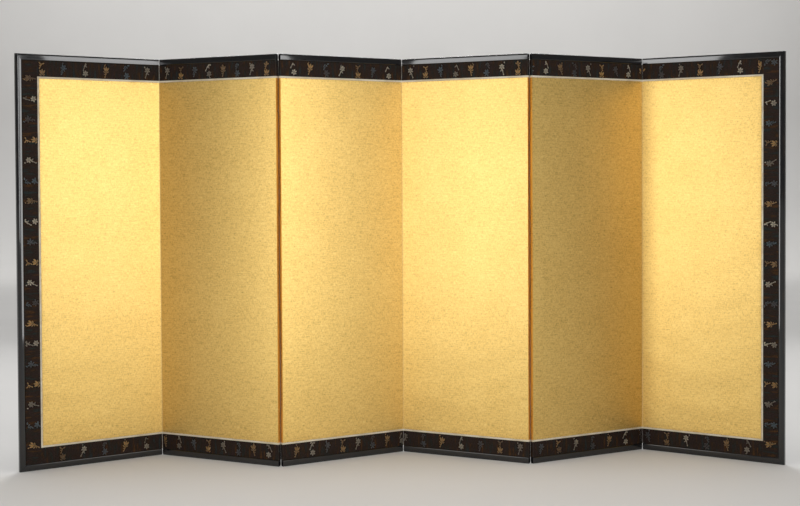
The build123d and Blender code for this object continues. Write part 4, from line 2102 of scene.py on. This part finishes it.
# ---- studio
@dataclass(frozen=True)
class Softbox:
    """One rectangular lamp behind a grid, which the camera doesn't see.

    Args:
        name: the lamp's name.
        place: its middle.
        target: what it faces.
        size: width and height.
        power: in watts.
        grid: how widely it lets the light out, in degrees.
    """

    name: str
    place: Place
    target: Place
    size: Pair
    power: float
    grid: float

    def hang(self) -> None:
        """Puts the lamp in the scene."""
        light = bpy.data.lights.new(self.name, "AREA")
        light.shape = "RECTANGLE"
        light.size, light.size_y = self.size
        light.energy = self.power
        light.spread = math.radians(self.grid)
        lamp = bpy.data.objects.new(self.name, light)
        lamp.location = self.place
        lamp.rotation_euler = (Vector(self.target) - Vector(self.place)).to_track_quat("-Z", "Y").to_euler()
        lamp.visible_camera = False
        bpy.context.scene.collection.objects.link(lamp)


SOFTBOXES = (
    Softbox("right_softbox", (2.27, -2.14, 1.30), (-1.40, -0.20, 1.00), (0.80, 2.45), 5.3, 77),
    Softbox("stile_softbox", (1.97, -2.76, 1.65), (-1.58, -0.20, 1.10), (0.20, 1.8), 0.70, 60),
    Softbox("fold_softbox", (2.70, -2.00, 2.00), (1.22, 0.04, 1.35), (0.30, 1.4), 0.32, 28),
    Softbox("left_softbox", (-2.75, -2.0, 1.30), (1.18, -0.60, 1.00), (0.80, 2.45), 6.7, 76),
    Softbox("front_softbox", (-0.2, -6.2, 4.3), (0.0, 0.0, 0.8), (2.4, 1.4), 6, 120),
    Softbox("backdrop_softbox", (0.0, 10.5, 6.0), (0.0, 14.5, 3.0), (13.0, 1.2), 190, 130),
    Softbox("rear_softbox", (0.0, 5.4, 3.6), (0.0, 0.0, 0.8), (3.6, 1.6), 90, 120),
    Softbox("overhead_softbox", (0.0, -4.3, 4.6), (0.0, -3.0, 0.0), (6.0, 2.4), 12, 120),
    Softbox("ceiling_softbox", (0.0, 0.0, 16.0), (0.0, 0.0, 0.0), (110.0, 110.0), 19000, 60),
)


@dataclass
class Studio:
    """Floor, backdrop, lamps and camera.

    Args:
        floor_colour: of the floor and backdrop.
        room_colour: of the light from all round.
        room_light: strength of that light.
        half_width: how far the floor reaches to each side.
        floor_front: the floor's front edge.
        wall: place of the backdrop.
        wall_height: its height.
        turn: radius of the floor's turn up into it.
        turn_steps: faces round that turn.
        eye: place of the camera.
        yaw: the camera's turn to the left, in degrees.
        pitch: how far it looks down, in degrees.
        roll: how far it leans to the right, in degrees.
        focal_pixels: its focal length in pixels of the picture.
        shift: of the picture's middle, in widths of the picture.
    """

    floor_colour: Colour = (0.66, 0.65, 0.635)
    room_colour: Colour = (1.0, 0.99, 0.97)
    room_light: float = 0.17
    half_width: float = 80.0
    floor_front: float = -80.0
    wall: float = 14.5
    wall_height: float = 9.0
    turn: float = 2.2
    turn_steps: int = 16
    eye: Place = (-0.1642, -6.2247, 1.2127)
    yaw: float = -1.409
    pitch: float = 1.417
    roll: float = 0.28
    focal_pixels: float = 1464.6
    shift: Pair = (0.0006, -0.0515)

    def sweep(self) -> None:
        """Makes the floor, which turns up into the backdrop."""
        foot = self.wall - self.turn
        line = [(self.floor_front, 0.0), (-2.0, 0.0), (0.0, 0.0), (foot, 0.0)]
        for n in range(1, self.turn_steps + 1):
            angle = math.pi / 2 * n / self.turn_steps
            line.append((foot + self.turn * math.sin(angle), self.turn - self.turn * math.cos(angle)))
        line.append((self.wall, self.wall_height))
        points = [(x, y, z) for x in (-self.half_width, self.half_width) for y, z in line]
        count = len(line)
        faces = [(n, count + n, count + n + 1, n + 1) for n in range(count - 1)]
        mesh = bpy.data.meshes.new("studio_sweep")
        mesh.from_pydata(points, [], faces)
        mesh.materials.append(StudioSurface("studio_paint", self.floor_colour).material())
        mesh.shade_smooth()
        linked("studio_sweep", mesh)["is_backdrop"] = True

    def surroundings(self) -> None:
        """Gives the world its soft pale light."""
        world = bpy.data.worlds.new("soft_room")
        world.use_nodes = True
        bpy.context.scene.world = world
        backdrop = world.node_tree.nodes["Background"]
        backdrop.inputs["Color"].default_value = (*self.room_colour, 1)
        backdrop.inputs["Strength"].default_value = self.room_light

    def camera(self) -> None:
        """Places the camera."""
        place = Matrix.Translation(self.eye)
        for angle, axis in ((self.yaw, "Z"), (90 - self.pitch, "X"), (-self.roll, "Z")):
            place = place @ Matrix.Rotation(math.radians(angle), 4, axis)
        data = bpy.data.cameras.new("camera")
        data.sensor_width = 36.0
        data.lens = self.focal_pixels / PICTURE_WIDTH * data.sensor_width
        data.shift_x, data.shift_y = self.shift
        camera = bpy.data.objects.new("camera", data)
        camera.matrix_world = place
        bpy.context.scene.collection.objects.link(camera)
        bpy.context.scene.camera = camera

    def build(self) -> None:
        """Sets the whole studio up."""
        self.sweep()
        for softbox in SOFTBOXES:
            softbox.hang()
        self.surroundings()
        self.camera()
        bpy.context.scene.view_settings.view_transform = "Standard"


# ---- the screen
def cuts(drift: Drift, first_seed: int, *rows: tuple[float, float, Hue, int]) -> list[ClothCut]:
    """Cuts with one order of hues and counted seeds, from each one's start, pitch, first hue and lean."""
    numbered = enumerate(rows, start=first_seed)
    return [ClothCut(start, pitch, hue, drift, lean, seed) for seed, (start, pitch, hue, lean) in numbered]


CUTS = {
    Run.TOP: cuts(
        Drift.BLUE_NEXT, 11,
        (-0.075, 0.095, Hue.CREAM, 1), (0.041, 0.073, Hue.CREAM, 1), (-0.014, 0.078, Hue.BLUE, 1),
        (0.045, 0.073, Hue.CREAM, -1), (-0.001, 0.075, Hue.BLUE, -1), (0.000, 0.090, Hue.GOLD, 1),
    ),
    Run.BOTTOM: cuts(
        Drift.CREAM_NEXT, 21,
        (-0.004, 0.096, Hue.BLUE, 1), (0.013, 0.077, Hue.GOLD, -1), (0.066, 0.075, Hue.GOLD, 1),
        (0.006, 0.092, Hue.CREAM, 1), (0.044, 0.092, Hue.BLUE, 1), (0.024, 0.092, Hue.BLUE, -1),
    ),
    Run.LEFT: cuts(Drift.BLUE_NEXT, 31, (0.079, 0.084, Hue.GOLD, 1)),
    Run.RIGHT: cuts(Drift.BLUE_NEXT, 32, (0.053, 0.084, Hue.GOLD, -1)),
}


def cut_for(panel: Panel, run: Run) -> ClothCut:
    """How the strip along one edge of a panel was cut."""
    return CUTS[run][panel.number - 1 if run in (Run.TOP, Run.BOTTOM) else 0]


@dataclass
class FoldingScreen:
    """The whole screen, panel by panel and seam by seam."""

    panels: list[Panel] = field(default_factory=standing_panels)
    weaver: FigureCloth = field(default_factory=FigureCloth)
    layer: CouchedThread = field(default_factory=CouchedThread)
    bar: LacquerBar = field(default_factory=LacquerBar)

    def build(self) -> None:
        """Builds every panel and every hinge."""
        for panel in self.panels:
            HiddenCore(panel).build()
            GoldGround(panel).build()
            BackCover(panel).build()
            for run in runs_of(panel):
                BrocadeStrip(panel, run, cut_for(panel, run), self.weaver).build()
            InnerBorder(panel, self.layer).build()
            LacquerFrame(panel, self.bar).build()
        for seam in range(1, len(self.panels)):
            SeamHinge(seam, self.panels).build()


def report() -> None:
    """Says what each piece is and how many faces it has."""
    for piece in sorted(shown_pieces(), key=lambda p: p.name):
        log.info("%s: %d faces", piece.name, len(piece.data.polygons))


def main() -> None:
    """Builds the screen and its studio."""
    logging.basicConfig(level=logging.INFO, format="%(message)s")
    FoldingScreen().build()
    Studio().build()
    report()


if __name__ == "__main__":
    main()
